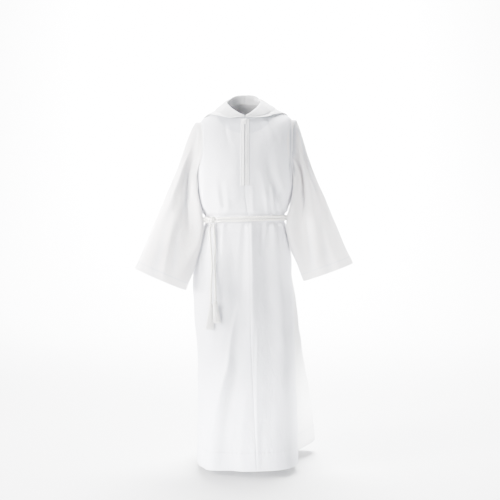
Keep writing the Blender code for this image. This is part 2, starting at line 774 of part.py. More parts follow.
def front_point(x, height, off):
    angle, level = front_place(x, height)
    return body_point(angle, level, off)


def layer(name, points, thickness, material, collection):
    """A thin strip whose outer face is a grid of points."""
    thing = cloth_grid(name, points, material, collection)
    thing.modifiers["wall"].thickness = thickness
    thing.modifiers["wall"].thickness_vertex_group = 1.0
    return thing


def evenly(start, end, count):
    return [start + (end - start) * step / (count - 1) for step in range(count)]


def make_zip(tape_cloth, cloth, collection):
    heights = evenly(ZIP_BOTTOM - 0.006, ZIP_TOP, 12)
    behind = -(WALL + LAYER_GAP)
    tape_lines = (-TAPE_HALF_WIDTH, -0.0055, 0.0, 0.0055, TAPE_HALF_WIDTH)
    tape = grid_of(lambda x, z: front_point(x, z, behind), tape_lines, heights)
    layer("zip_tape", tape, TAPE_THICKNESS, tape_cloth, collection)
    coil_lines = (-COIL_HALF_WIDTH, COIL_HALF_WIDTH)
    heights = evenly(ZIP_BOTTOM, ZIP_TOP - 0.002, 12)
    front = behind + LAYER_GAP + COIL_THICKNESS
    coil = grid_of(lambda x, z: front_point(x, z, front), coil_lines, heights)
    layer("zip_coil", coil, COIL_THICKNESS, tape_cloth, collection)
    for side, name in ((1, "zip_welt_left"), (-1, "zip_welt_right")):
        lines = [ZIP_GAP_HALF, ZIP_GAP_HALF + WELT_WIDTH / 2, ZIP_GAP_HALF + WELT_WIDTH]
        lines = lines if side == 1 else [-x for x in reversed(lines)]
        heights = evenly(ZIP_BOTTOM - 0.004, ZIP_TOP - 0.0065, 12)
        lift = LAYER_GAP + WELT_THICKNESS
        welt = grid_of(lambda x, z: front_point(x, z, lift), lines, heights)
        layer(name, welt, WELT_THICKNESS, cloth, collection)


def make_facing(side, name, cloth, collection):
    """The band behind the neck's front edge, on the same lines and rows as the front."""
    behind = -(WALL + TAPE_THICKNESS + 2.5 * LAYER_GAP)
    lines = [90 * side * line for line in FACING_LINES]
    rows = FACING_ROWS
    points = grid_of(lambda angle, level: body_point(angle, level, behind), lines, rows)
    layer(name, points if side == 1 else points[::-1], WALL, cloth, collection)


# The slider and its tab, in a frame on the cloth: X across, Y into the cloth, Z up it.

def slider_frame():
    angle, level = front_place(0.0, SLIDER_HEIGHT)
    out = outward(angle, level)
    out = unit(np.array([0.0, out[1], out[2]]))
    up = np.cross((1.0, 0.0, 0.0), -out)
    origin = plain_point(angle, level) + out * HINGE_LIFT
    origin[0] = 0.0
    turn = Matrix(((1, 0, 0), tuple(-out), tuple(up))).transposed()
    return Matrix.Translation(Vector(origin)) @ turn.to_4x4()


def box(name, size, centre, material, collection, bevel=0.0):
    shape = bmesh.new()
    bmesh.ops.create_cube(shape, size=1.0)
    for corner in shape.verts:
        corner.co = Vector(corner.co[axis] * size[axis] + centre[axis] for axis in range(3))
    mesh = bpy.data.meshes.new(name)
    shape.to_mesh(mesh)
    shape.free()
    thing = add_object(name, mesh, material, collection)
    if bevel:
        edge = thing.modifiers.new("edge", "BEVEL")
        edge.width = bevel
        edge.segments = 1
    return thing


def cutter_or_join(thing, other, operation):
    step = thing.modifiers.new(operation.lower(), "BOOLEAN")
    step.operation = operation
    step.object = other
    other.hide_render = True
    other.display_type = "WIRE"


def bridge_mesh(name, collection):
    """The slider's bridge: a bent wire, made a mesh so that it can be joined on."""
    radius = BRIDGE_INSIDE + BRIDGE_WIRE / 2
    foot = HINGE_LIFT - SLIDER_LIFT - SLIDER_PLATE / 2
    route = [(0.0, foot, -radius)]
    for step in range(9):
        bend = math.pi * step / 8
        route.append((0.0, -radius * math.sin(bend), -radius * math.cos(bend)))
    route.append((0.0, foot, radius))
    thing = wire(name, route, BRIDGE_WIRE, None, collection, sides=1)
    graph = bpy.context.evaluated_depsgraph_get()
    mesh = bpy.data.meshes.new_from_object(thing.evaluated_get(graph))
    shape = bmesh.new()
    shape.from_mesh(mesh)
    bmesh.ops.remove_doubles(shape, verts=shape.verts, dist=0.000001)
    bmesh.ops.recalc_face_normals(shape, faces=shape.faces)
    shape.to_mesh(mesh)
    shape.free()
    joined = add_object(name + "_mesh", mesh, None, collection)
    joined.matrix_world = thing.matrix_world
    bpy.data.objects.remove(thing)
    return joined


def wire(name, route, diameter, material, collection, sides=2):
    """A round tube along a line of points, its ends filled."""
    curve = bpy.data.curves.new(name, "CURVE")
    curve.dimensions = "3D"
    line = curve.splines.new("POLY")
    line.points.add(len(route) - 1)
    for point, place in zip(line.points, route):
        point.co = (*place, 1)
    curve.bevel_depth = diameter / 2
    curve.bevel_resolution = sides
    curve.use_fill_caps = True
    return add_object(name, curve, material, collection)


def make_slider(metal, collection, cutters):
    place = slider_frame()
    plate_back = HINGE_LIFT - SLIDER_LIFT
    plate_centre = (0.0, plate_back - SLIDER_PLATE / 2, 0.0)
    plate_size = (SLIDER_WIDTH, SLIDER_PLATE, SLIDER_LENGTH)
    slider = box("zip_slider", plate_size, plate_centre, metal, collection, 0.0004)
    stem_end = HINGE_LIFT - LAYER_GAP + 0.0001
    stem_size = (SLIDER_STEM, stem_end - plate_back + 0.0004, SLIDER_LENGTH * 0.7)
    stem_centre = (0.0, (stem_end + plate_back - 0.0004) / 2, 0.0)
    stem = box("slider_stem", stem_size, stem_centre, None, cutters)
    bridge = bridge_mesh("slider_bridge", cutters)
    cutter_or_join(slider, stem, "UNION")
    cutter_or_join(slider, bridge, "UNION")
    tab_centre = (0.0, 0.0, TAB_THICKNESS / 2 - TAB_LENGTH / 2)
    tab_size = (TAB_WIDTH, TAB_THICKNESS, TAB_LENGTH)
    tab = box("zip_pull_tab", tab_size, tab_centre, metal, collection, 0.0003)
    window_top = -TAB_THICKNESS / 2
    window_centre = (0.0, 0.0, window_top - TAB_WINDOW_LENGTH / 2)
    window_size = (TAB_WINDOW_WIDTH, TAB_THICKNESS * 3, TAB_WINDOW_LENGTH)
    window = box("tab_window", window_size, window_centre, None, cutters)
    cutter_or_join(tab, window, "DIFFERENCE")
    for thing in (slider, stem, bridge, tab, window):
        thing.matrix_world = place


# The cincture.

def knot_frame():
    """The knot's centre, and its directions along the belt, out and up."""
    level = BELT_HEIGHT - ARMPIT_HEIGHT
    out = outward(KNOT_ANGLE, level)
    off = KNOT_RADIUS + KNOT_BULGE + LAYER_GAP * 2
    centre = plain_point(KNOT_ANGLE, level) + out * off
    up = np.array([0.0, 0.0, 1.0])
    along = unit(np.cross(up, out))
    return centre, along, out, up


def belt_route(lift):
    """One turn of the cord round the waist, from one end of the knot to the other."""
    centre, along, out, up = knot_frame()
    level = BELT_HEIGHT - ARMPIT_HEIGHT + lift
    off = CORD_DIAMETER / 2 + CORD_STANDOFF
    end = KNOT_LENGTH / 2 + LAYER_GAP * 2
    inset = up * lift - out * BELT_TUCK
    first = [centre + along * (end + far) + inset for far in (0.0, 0.004, 0.008)]
    last = [centre - along * (end + far) + inset for far in (0.008, 0.004, 0.0)]
    angles = evenly(KNOT_ANGLE + BELT_OFF_KNOT, KNOT_ANGLE + 360 - BELT_OFF_KNOT, 60)
    middle = [body_point(angle, level, off) for angle in angles]
    route = rounded_curve(np.array(first + middle + last), 2)
    start = list(BELT_FRACTIONS)
    end = [1 - fraction for fraction in reversed(BELT_FRACTIONS)]
    between = evenly(start[-1], end[0], BELT_POINTS)[1:-1]
    return along_curve(route, start + between + end)


def end_route(name):
    """A hanging end, from under the knot to its tassel."""
    centre, along, out, up = knot_frame()
    top = centre + along * END_STARTS[name] - up * (KNOT_RADIUS + KNOT_BULGE + LAYER_GAP)
    points = [top, top - up * 0.010]
    for row in ENDS[name]:
        place = dict(zip(END_COLUMNS, row))
        points.append(front_point(place["x"], place["z"], place["off"]))
    points.append(points[-1] - up * 0.010)
    fractions = [0, 0.02, 0.05] + evenly(0.10, 0.93, END_POINTS) + [0.97, 1]
    return along_curve(rounded_curve(np.array(points), 3), fractions)


def make_knot(cord, collection):
    """A barrel of wraps, turned round its own length."""
    rings = KNOT_WRAPS * 4
    profile = bmesh.new()
    corners = [profile.verts.new((0.0, 0.0, KNOT_LENGTH / 2))]
    for step in range(rings + 1):
        bulge = KNOT_BULGE * math.sin(math.pi * KNOT_WRAPS * step / rings) ** 2
        height = KNOT_LENGTH * (0.5 - step / rings)
        corners.append(profile.verts.new((KNOT_RADIUS + bulge, 0.0, height)))
    corners.append(profile.verts.new((0.0, 0.0, -KNOT_LENGTH / 2)))
    for start, end in zip(corners, corners[1:]):
        profile.edges.new((start, end))
    mesh = bpy.data.meshes.new("cincture_knot")
    profile.to_mesh(mesh)
    profile.free()
    knot = add_object("cincture_knot", mesh, cord, collection)
    turned = knot.modifiers.new("turned", "SCREW")
    turned.steps = KNOT_TURN_STEPS
    turned.render_steps = KNOT_TURN_STEPS
    turned.use_merge_vertices = True
    turned.merge_threshold = 0.00001
    turned.use_smooth_shade = True
    centre, along, out, up = knot_frame()
    turn = Matrix((tuple(out), tuple(up), tuple(along))).transposed()
    if turn.determinant() < 0:
        turn = Matrix((tuple(up), tuple(out), tuple(along))).transposed()
    knot.matrix_world = Matrix.Translation(Vector(centre)) @ turn.to_4x4()


def make_tassel(row, cord, collection):
    """A head whose underside carries a block of loose strands."""
    tassel = dict(zip(TASSEL_COLUMNS, row))
    shape = bmesh.new()
    count = TASSEL_STRANDS
    bmesh.ops.create_grid(shape, x_segments=count, y_segments=count, size=1.0)
    for corner in shape.verts:
        x, y = corner.co.x, corner.co.y
        corner.co.x = x * math.sqrt(1 - y * y / 2) * TASSEL_HEAD_RADIUS
        corner.co.y = y * math.sqrt(1 - x * x / 2) * TASSEL_HEAD_RADIUS
    strands = list(shape.faces)
    raised = bmesh.ops.extrude_face_region(shape, geom=strands, use_keep_orig=True)
    for part in raised["geom"]:
        if isinstance(part, bmesh.types.BMVert):
            part.co = Vector((part.co.x * TASSEL_HEAD_TAPER, part.co.y * TASSEL_HEAD_TAPER, TASSEL_HEAD))
    for face in strands:
        face.normal_flip()
    bmesh.ops.inset_individual(shape, faces=strands, thickness=STRAND_SHRINK)
    roots = {face.index: face.calc_center_median().copy() for face in numbered(strands)}
    before = 0.0
    ends = strands
    for part in STRAND_STEPS:
        grown = bmesh.ops.extrude_discrete_faces(shape, faces=ends)["faces"]
        for face, root in zip(grown, roots.values()):
            wave = STRAND_WAVE * math.sin(7 * root.x / TASSEL_HEAD_RADIUS + 5 * part)
            across = root.x / TASSEL_HEAD_RADIUS * tassel["spread_x"] + tassel["drift"]
            ahead = root.y / TASSEL_HEAD_RADIUS * tassel["spread_y"]
            shift = Vector((across + wave, ahead, -tassel["strands"])) * (part - before)
            for corner in face.verts:
                corner.co += shift
        before = part
        ends = grown
    bmesh.ops.recalc_face_normals(shape, faces=shape.faces)
    mesh = bpy.data.meshes.new(tassel["name"])
    shape.to_mesh(mesh)
    shape.free()
    thing = add_object(tassel["name"], mesh, cord, collection)
    end = end_route(tassel["cord"])[-1]
    thing.location = Vector(end) - Vector((0, 0, TASSEL_HEAD + LAYER_GAP))


def numbered(faces):
    for index, face in enumerate(faces):
        face.index = index
    return faces


def make_cincture(cord, collection):
    for name, lift in (("belt_cord_upper", 0.5), ("belt_cord_lower", -0.5)):
        wire(name, belt_route(CORD_SPACING * lift), CORD_DIAMETER, cord, collection)
    make_knot(cord, collection)
    for name in ENDS:
        wire(name, end_route(name), CORD_DIAMETER, cord, collection)
    for row in TASSELS:
        make_tassel(row, cord, collection)


def main():
    clear_scene()
    parts = make_collection("child_alb")
    cutters = make_collection("child_alb_cutters")
    cloth = make_material("alb_cloth", CLOTH_WHITE, CLOTH_ROUGHNESS)
    tape = make_material("zip_white", ZIP_WHITE, 0.5)
    cord = make_material("cord_white", CORD_WHITE, 0.8)
    make_body(cloth, parts)
    make_sleeve(1, "sleeve_left", cloth, parts)
    make_sleeve(-1, "sleeve_right", cloth, parts)
    make_hood(1, "hood_left", cloth, parts)
    make_hood(-1, "hood_right", cloth, parts)
    make_facing(1, "neck_facing_left", cloth, parts)
    make_facing(-1, "neck_facing_right", cloth, parts)
    make_zip(tape, cloth, parts)
    make_slider(tape, parts, cutters)
    make_cincture(cord, parts)


main()
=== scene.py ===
import math

import bpy
import numpy as np
from mathutils import Matrix, Vector


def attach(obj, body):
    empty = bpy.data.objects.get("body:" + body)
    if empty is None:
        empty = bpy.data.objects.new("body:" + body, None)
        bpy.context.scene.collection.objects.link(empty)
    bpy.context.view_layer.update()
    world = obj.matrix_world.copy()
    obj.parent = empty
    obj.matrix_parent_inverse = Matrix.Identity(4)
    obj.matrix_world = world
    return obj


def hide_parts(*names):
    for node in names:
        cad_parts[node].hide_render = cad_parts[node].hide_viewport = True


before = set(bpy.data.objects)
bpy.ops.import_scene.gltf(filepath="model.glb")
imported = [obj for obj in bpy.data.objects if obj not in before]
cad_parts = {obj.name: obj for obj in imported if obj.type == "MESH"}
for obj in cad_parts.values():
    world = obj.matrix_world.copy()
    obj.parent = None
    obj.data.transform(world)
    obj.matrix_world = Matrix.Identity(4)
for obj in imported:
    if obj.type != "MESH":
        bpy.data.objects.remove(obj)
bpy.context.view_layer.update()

print("packed frame loaded")


# numbers and curves

def ramp(value, start, end):
    t = np.clip((value - start) / (end - start), 0, 1)
    return t * t * (3 - 2 * t)


def window(value, start, whole, fading, end):
    # rises from 0 at the start, is 1 from whole to fading, and falls to 0 at the end
    return ramp(value, start, whole) * (1 - ramp(value, fading, end))


def bell(value, centre, width, power=2):
    return np.exp(-(((value - centre) / width) ** power))


def wrapped(angle):
    return (angle + 180) % 360 - 180


def sinCos(angle):
    return np.sin(np.radians(angle)), np.cos(np.radians(angle))


def between(first, last, share):
    return first + (last - first) * share


def signedPower(value, power):
    return np.sign(value) * np.abs(value) ** power


def unit(vectors):
    return vectors / np.linalg.norm(vectors, axis=-1, keepdims=True)


def hermite(start, leave, end, arrive, t):
    early = start * (1 + 2 * t) * (1 - t) ** 2 + leave * t * (1 - t) ** 2
    return early + end * t * t * (3 - 2 * t) - arrive * t * t * (1 - t)


def tableCurve(places, values):
    # a smooth function through a table's values, which never passes them
    places, values = np.array(places, float), np.array(values, float)
    slopes = np.gradient(values, places)

    def at(place):
        place = np.clip(place, places[0], places[-1])
        index = np.clip(np.searchsorted(places, place, side="right") - 1, 0, len(places) - 2)
        step = places[index + 1] - places[index]
        secant = (values[index + 1] - values[index]) / step

        def limited(slope):
            small = np.minimum(np.abs(slope), 3 * np.abs(secant))
            return np.where(slope * secant <= 0, 0.0, np.sign(slope) * small) * step

        leave, arrive = limited(slopes[index]), limited(slopes[index + 1])
        t = (place - places[index]) / step
        return hermite(values[index], leave, values[index + 1], arrive, t)

    return at


def tableCurves(table):
    # a smooth function of a table's first column for each other column
    columns = np.array(table, float).T
    return [tableCurve(columns[0], column) for column in columns[1:]]


def inMetres(table, columns):
    # turns so many of a table's first columns from millimetres to metres
    return [[value * 0.001 for value in row[:columns]] + list(row[columns:]) for row in table]


def roundedCurve(points, passes):
    # cuts the corners of lines of points; the points' axis is the last but one
    for _ in range(passes):
        before, after = points[..., :-1, :], points[..., 1:, :]
        middle = np.stack([before * 0.75 + after * 0.25, before * 0.25 + after * 0.75], axis=-2)
        middle = middle.reshape(*points.shape[:-2], -1, 3)
        points = np.concatenate([points[..., :1, :], middle, points[..., -1:, :]], axis=-2)
    return points


def runLengths(points, axis=0):
    # how far along its line each point lies
    steps = np.linalg.norm(np.diff(points, axis=axis), axis=-1)
    return np.concatenate([np.zeros_like(steps.take([0], axis)), np.cumsum(steps, axis)], axis)


def lineLength(points):
    return float(np.linalg.norm(np.diff(points, axis=0), axis=1).sum())


def pointsAt(places, lengths, points):
    return np.stack([np.interp(places, lengths, points[:, axis]) for axis in range(3)], axis=-1)


def alongCurve(points, fractions):
    lengths = runLengths(points)
    return pointsAt(np.asarray(fractions) * lengths[-1], lengths, points)


def evenPoints(points, spacing):
    count = max(int(lineLength(points) / spacing), 4)
    return alongCurve(points, np.linspace(0, 1, count + 1))


def found(rising, wanted, low, high, steps=24):
    # halves the range between low and high until the rising function gives what is wanted
    low, high = np.full(wanted.shape, low, float), np.full(wanted.shape, high, float)
    for _ in range(steps):
        middle = (low + high) / 2
        under = rising(middle) < wanted
        low, high = np.where(under, middle, low), np.where(under, high, middle)
    return (low + high) / 2


def gridNormals(points, closed=False):
    around = np.gradient(points, axis=0)
    if closed:
        around[1:-1] = points[2:] - points[:-2]
        around[0] = around[-1] = points[1] - points[-2]
    return unit(np.cross(around, np.gradient(points, axis=1)))


# small tools for making pieces

def deselectAll():
    bpy.ops.object.select_all(action="DESELECT")


def selectOnly(*pieces):
    deselectAll()
    for piece in pieces:
        piece.select_set(True)
    bpy.context.view_layer.objects.active = pieces[0]


def pointsOf(mesh):
    flat = np.empty(len(mesh.vertices) * 3)
    mesh.vertices.foreach_get("co", flat)
    return flat.reshape(-1, 3)


def gridPiece(name, points, uv, **values):
    # points and uv, in metres, are arrays of lines across and then rows up;
    # each further array becomes an attribute that the materials read
    across, up = points.shape[:2]
    deselectAll()
    bpy.ops.mesh.primitive_grid_add(
        x_subdivisions=across - 1, y_subdivisions=up - 1, size=1, location=(0, 0, 0))
    piece = bpy.context.object
    piece.name = piece.data.name = name
    mesh = piece.data
    flat = pointsOf(mesh)
    i = np.rint((flat[:, 0] + 0.5) * (across - 1)).astype(int)
    j = np.rint((flat[:, 1] + 0.5) * (up - 1)).astype(int)
    mesh.vertices.foreach_set("co", points[i, j].ravel())
    corner = np.empty(len(mesh.loops), int)
    mesh.loops.foreach_get("vertex_index", corner)
    mesh.uv_layers[0].data.foreach_set("uv", uv[i, j][corner].ravel())
    for attribute, grid in values.items():
        mesh.attributes.new(attribute, "FLOAT", "POINT").data.foreach_set("value", grid[i, j])
    mesh.update()
    return piece


def surfaceUv(points):
    # metres across and up the cloth, so that a weave keeps its size
    u = runLengths(points, 0)
    return np.stack([u - u.mean(axis=0), runLengths(points, 1)], axis=-1)


def mergeClose(piece, distance):
    selectOnly(piece)
    bpy.ops.object.mode_set(mode="EDIT")
    bpy.ops.mesh.select_all(action="SELECT")
    bpy.ops.mesh.remove_doubles(threshold=distance)
    bpy.ops.object.mode_set(mode="OBJECT")


def applyModifier(piece, name, kind, **values):
    selectOnly(piece)
    modifier = piece.modifiers.new(name, kind)
    for key, value in values.items():
        setattr(modifier, key, value)
    bpy.ops.object.modifier_apply(modifier=modifier.name)


def smoothShade(piece, degrees=None):
    selectOnly(piece)
    if degrees is None:
        bpy.ops.object.shade_smooth()
    else:
        bpy.ops.object.shade_smooth_by_angle(angle=math.radians(degrees))


def finishPiece(piece, look, replaced=None):
    piece.data.materials.clear()
    piece.data.materials.append(looks[look])
    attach(piece, "robe")
    if replaced:
        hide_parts(replaced)
    return piece


def sewCloth(name, points, look, laid=None, thickness=None, offset=-1.0, closed=False, **values):
    # a piece of cloth with its wall; its weave is measured on the laid surface, if there is one
    piece = gridPiece("sewn_" + name, points, surfaceUv(points if laid is None else laid), **values)
    if closed:
        mergeClose(piece, 0.00002)
    applyModifier(piece, "wall", "SOLIDIFY", thickness=thickness or robe["wall"], offset=offset)
    smoothShade(piece, 50)
    return finishPiece(piece, look, name)


def joinPieces(pieces, name):
    selectOnly(*pieces)
    bpy.ops.object.join()
    joined = bpy.context.object
    joined.name = joined.data.name = name
    return joined


def copyOf(model):
    copy = model.copy()
    copy.data = model.data.copy()
    bpy.context.collection.objects.link(copy)
    return copy


def copiesOf(model, places, name):
    # copies of one small mesh, each at its own place, joined as one piece
    made = [copyOf(model) for _ in places]
    for copy, place in zip(made, places):
        copy.data.transform(place)
    bpy.data.objects.remove(model)
    return joinPieces(made, name)


def frameMatrix(point, *axes):
    turn = Matrix([tuple(axis) for axis in axes]).transposed().to_4x4()
    return Matrix.Translation(Vector(point)) @ turn


# camera and light

stageSet = {
    "cameraPlace": (0.015, -3.0, -0.319),
    "tiltDown": 2.34,
    "lens": 70.3,
    "floorHeight": -1.119,
    "floorColour": (0.95, 0.955, 0.96),
    "floorWidth": 28,
    "floorNear": -8,
    "backHeight": 8,
    "sweepStart": 2.6,
    "sweepBend": 2.6,
    "skyStrength": 0.4,
}
# name, place, aim, size, watts, colour, spread in degrees
lamps = (
    ("keyLight", (-3.1, -1.9, 1.0), (0, 0, -0.55), 1.1, 400, (1.0, 0.99, 0.97), 180),
    ("fillLight", (2.6, -2.2, 0.4), (0, 0, -0.6), 2.2, 30, (0.96, 0.98, 1.0), 180),
    ("backLight", (0.6, 2.4, 1.6), (0, 0, -0.5), 1.8, 8, (1.0, 1.0, 1.0), 180),
    ("sleeveBeam", (1.7, -2.2, 0.0), (0.265, -0.04, -0.34), 0.3, 0.8, (1.0, 0.96, 0.955), 12),
    ("sleeveLight", (1.1, 1.5, 0.0), (0.20, 0, -0.35), 0.8, 4, (1.0, 0.98, 0.97), 40),
    ("sleeveBeam", (-1.7, -2.2, 0.0), (-0.265, -0.04, -0.34), 0.3, 1.6, (1.0, 0.96, 0.955), 12),
    ("sleeveLight", (-1.1, 1.5, 0.0), (-0.20, 0, -0.35), 0.8, 4, (1.0, 0.98, 0.97), 40),
    ("sideLight", (-2.2, -0.35, -0.10), (-0.25, 0, -0.31), 0.6, 8, (1.0, 0.950, 0.945), 21),
    ("lowLight", (-1.2, -1.3, -1.0), (-0.10, -0.13, -1.05), 0.5, 7, (1.0, 0.985, 1.0), 24),
    ("wingLight", (1.4, -1.9, -0.85), (0.335, -0.02, -0.92), 0.12, 2.9, (1.0, 1.0, 1.0), 12),
    ("floorLight", (0.3, 1.3, 3.0), (0.3, 1.3, -1.1), 2.5, 560, (1.0, 1.0, 1.0), 110),
    ("sweepLight", (0, 1.6, 3.4), (0, 5.2, 0.6), 3.0, 1500, (1.0, 1.0, 1.0), 100),
)


def addArea(name, place, aim, size, power, colour, spread):
    bpy.ops.object.light_add(type="AREA", location=place)
    lamp = bpy.context.object
    lamp.name = name
    lamp.data.shape = "DISK"
    lamp.data.size = size
    lamp.data.energy = power
    lamp.data.color = colour
    lamp.data.spread = math.radians(spread)
    lamp.rotation_euler = (Vector(aim) - Vector(place)).to_track_quat("-Z", "Y").to_euler()


def buildFloor():
    # runs level, then sweeps up behind as one pale sheet
    deselectAll()
    bpy.ops.mesh.primitive_grid_add(x_subdivisions=2, y_subdivisions=60, size=2)
    floor = bpy.context.object
    floor.name = "floor"
    near, flat, bend = stageSet["floorNear"], stageSet["sweepStart"], stageSet["sweepBend"]
    level, upright = 0.3, 0.9  # shares of its length where it starts to rise and stands upright
    for vertex in floor.data.vertices:
        far = (vertex.co.y + 1) / 2
        turn = np.clip((far - level) / (upright - level), 0, 1) * math.pi / 2
        y = near + (flat - near) * min(far / level, 1) + bend * math.sin(turn)
        z = stageSet["floorHeight"] + bend * (1 - math.cos(turn))
        z += stageSet["backHeight"] * max(far - upright, 0) / (1 - upright)
        vertex.co = (vertex.co.x * stageSet["floorWidth"] / 2, y, z)
    smoothShade(floor)
    paint = bpy.data.materials.new("paleFloor")
    paint.use_nodes = True
    shader = paint.node_tree.nodes["Principled BSDF"]
    shader.inputs["Base Color"].default_value = (*stageSet["floorColour"], 1)
    shader.inputs["Roughness"].default_value = 0.7
    floor.data.materials.append(paint)


def buildStage():
    bpy.ops.object.camera_add(location=stageSet["cameraPlace"])
    camera = bpy.context.object
    camera.rotation_euler = (math.radians(90 - stageSet["tiltDown"]), 0, 0)
    camera.data.lens = stageSet["lens"]
    camera.data.sensor_width = 36
    camera.data.clip_start = 0.05
    bpy.context.scene.camera = camera
    buildFloor()
    world = bpy.data.worlds.new("studio")
    world.use_nodes = True
    sky = world.node_tree.nodes["Background"]
    sky.inputs["Color"].default_value = (1, 1, 1, 1)
    sky.inputs["Strength"].default_value = stageSet["skyStrength"]
    bpy.context.scene.world = world
    for lamp in lamps:
        addArea(*lamp)


buildStage()
print("camera, floor and lights ready")


# the robe's surface, from the same sizes as its solids. Angles are in degrees from the centre
# front toward the wearer's left. A level is in metres below the armpits where it is negative,
# and the share of the way up from there to the neck seam where it is positive

robe = {
    "hemHeight": -1.095,
    "armpitHeight": -0.205,
    "beltHeight": -0.3455,
    "beltTilt": 0.030,
    "beltTiltSpread": 0.12,
    "wall": 0.0012,
    "creaseSize": 1.5,
    "blunt": 0.021,  # how far the bend at the armpits is rounded off
    "bluntReach": 0.030,
    "hemLift": 0.014,  # how far the back's hem rides up at the wearer's left
    "hemLiftTop": -0.78,
    "hemLiftAngle": 130,
    "hemLiftSpread": 22,
    "shoulderLift": (0.0085, 0.0050),  # wearer's left and right
    "shoulderLiftWay": 0.70,  # sideways, and as much up
    "shoulderLiftSpread": 0.075,
    "hemDouble": 0.0006,  # how far the double cloth of a hem stands proud
    "hemStep": 0.002,
    "seamDepth": 0.0011,
    "seamWidth": 0.0021,
    "foldFade": 0.035,  # length over which a large fold starts and ends
    "foldsPressed": 0.024,  # how near the belt the large folds and the creases are pressed flat
    "creasesPressed": 0.0125,
    "zipCalm": 0.020,  # how near the zip, and above which height, the cloth lies calm
    "zipCalmHeights": (-0.262, -0.245),
    "squareness": 0.85,
    "neckHalfWidth": 0.0650,
    "neckFront": 0.0550,
    "neckBack": 0.0560,
    "neckPointHeight": -0.003,
    "neckFrontHeight": -0.036,
    "neckBackHeight": 0.010,
    "neckDip": 1.5,  # how sharply the neck seam dips at the centre
    "shoulderHeight": (-0.037, -0.052),  # wearer's left and right
    "chestKnee": -0.105,
    "backKnee": -0.060,
    "kneeSharpness": 3.5,
    "armholeTop": 0.66,
    "armholeFront": 31.0,
    "armholeBack": 27.0,
    "yokeHeight": 0.2,  # about the height of one level above the armpits
    "kneeShare": 0.05,  # how near the neck seam the yoke's knee lies
    "degree": 0.0024,  # metres of cloth in a degree beside the armholes
    "besideArmhole": 0.008,  # width of the calm cloth there
    "shadeDepth": 0.008,  # rise or fall that turns the cloth's shade by one
    "stitchShade": 0.0016,
    "cell": 0.0034,  # size of a cell of the cloth's grid
}
# sizes of the puckers along the stitching of each hem and of the waves along its edge
hems = {
    "skirt": {
        "width": 0.055,
        "pucker": 0.00035,
        "spread": 0.009,
        "lengths": (0.013, 0.0087),
        "phase": 1.3,
        "wave": 0.00077,
        "waveSpread": 0.020,
        "waveLength": 0.061,
        "radius": 0.15,
        "shade": 0.35,
    },
    "cuff": {
        "width": 0.025,
        "pucker": 0.0003,
        "spread": 0.007,
        "lengths": (0.0125, 0.0083),
        "phase": 0.9,
        "wave": 0.0006,
        "waveSpread": 0.018,
        "waveLength": 0.09,
        "radius": 0.36 / (2 * math.pi),
        "shade": 0.45,
    },
}
# distance from the belt, spread and rise of the cloth that blouses out beside it
blouses = ((0.021, 0.008, 0.0022), (-0.022, 0.009, 0.0016))
hemLevel = robe["hemHeight"] - robe["armpitHeight"]
beltLevel = robe["beltHeight"] - robe["armpitHeight"]
yokeSteps = 32

# in millimetres: height, reach to the left, right, front and back
sections = inMetres((
    (-1095, 166, 148, 130, 262),
    (-900, 160, 146, 128, 222),
    (-750, 153, 146, 124, 186),
    (-600, 152, 158, 118, 152),
    (-530, 146, 161, 114, 138),
    (-450, 141, 151, 108, 124),
    (-390, 134, 138, 100, 109),
    (-368, 126, 128, 91, 96),
    (-359, 121.5, 123.5, 86, 90),
    (-332, 121.5, 123.5, 86, 90),
    (-325, 127, 129, 92, 96),
    (-305, 137, 138, 98, 105),
    (-265, 145, 145.5, 103, 110),
    (-205, 148, 148, 104, 106),
), 5)
widthLeft, widthRight, depthFront, depthBack = tableCurves(sections)

# large folds: top angle, low angle, top, low, spread, rise at the top, rise at the low end
bodyFolds = (
    (5, 6, -0.37, -0.66, 7, 0.005, 0.003),
    (21, 24, -0.37, -0.62, 8, -0.006, -0.004),
    (38, 42, -0.37, -0.75, 9, 0.007, 0.005),
    (-8, -46, -0.58, -1.30, 13, 0.004, 0.012),
    (-2, -18, -0.62, -1.30, 12, -0.002, -0.008),
    (-52, -54, -0.38, -0.62, 9, -0.006, -0.004),
    (48, 46, -0.72, -1.30, 12, 0.002, 0.006),
    (30, 31, -0.235, -0.335, 4, 0.001, 0.005),
    (41, 41, -0.225, -0.335, 4, 0.001, 0.006),
    (52, 51, -0.240, -0.335, 4, 0.001, 0.005),
    (-50, -52, -0.260, -0.335, 6, 0.001, 0.005),
    (-20, -20, -0.280, -0.335, 6, 0.000, 0.003),
    (112, 133, -0.50, -1.30, 14, 0.004, 0.134),
    (96, 100, -0.50, -1.30, 10, -0.002, -0.016),
    (156, 163, -0.37, -1.30, 9, 0.005, 0.034),
    (180, 190, -0.37, -1.30, 9, 0.006, 0.040),
    (205, 218, -0.37, -1.30, 9, 0.005, 0.036),
    (232, 244, -0.37, -1.30, 9, 0.004, 0.022),
    (150, 152, -0.230, -0.335, 5, 0.001, 0.005),
    (168, 168, -0.210, -0.335, 5, 0.001, 0.006),
    (188, 187, -0.220, -0.335, 5, 0.001, 0.006),
    (207, 206, -0.235, -0.335, 5, 0.001, 0.005),
    (246, 246, -0.250, -0.335, 6, 0.001, 0.004),
)


def sectionPoint(angle, height):
    across, ahead = sinCos(angle)
    width = np.where(across > 0, widthLeft(height), widthRight(height))
    depth = np.where(ahead > 0, depthFront(height), depthBack(height))
    x = width * signedPower(across, robe["squareness"])
    y = -depth * signedPower(ahead, robe["squareness"])
    tilt = robe["beltTilt"] * bell(height, robe["beltHeight"], robe["beltTiltSpread"])
    return np.stack([x, y, height + tilt * x], axis=-1)


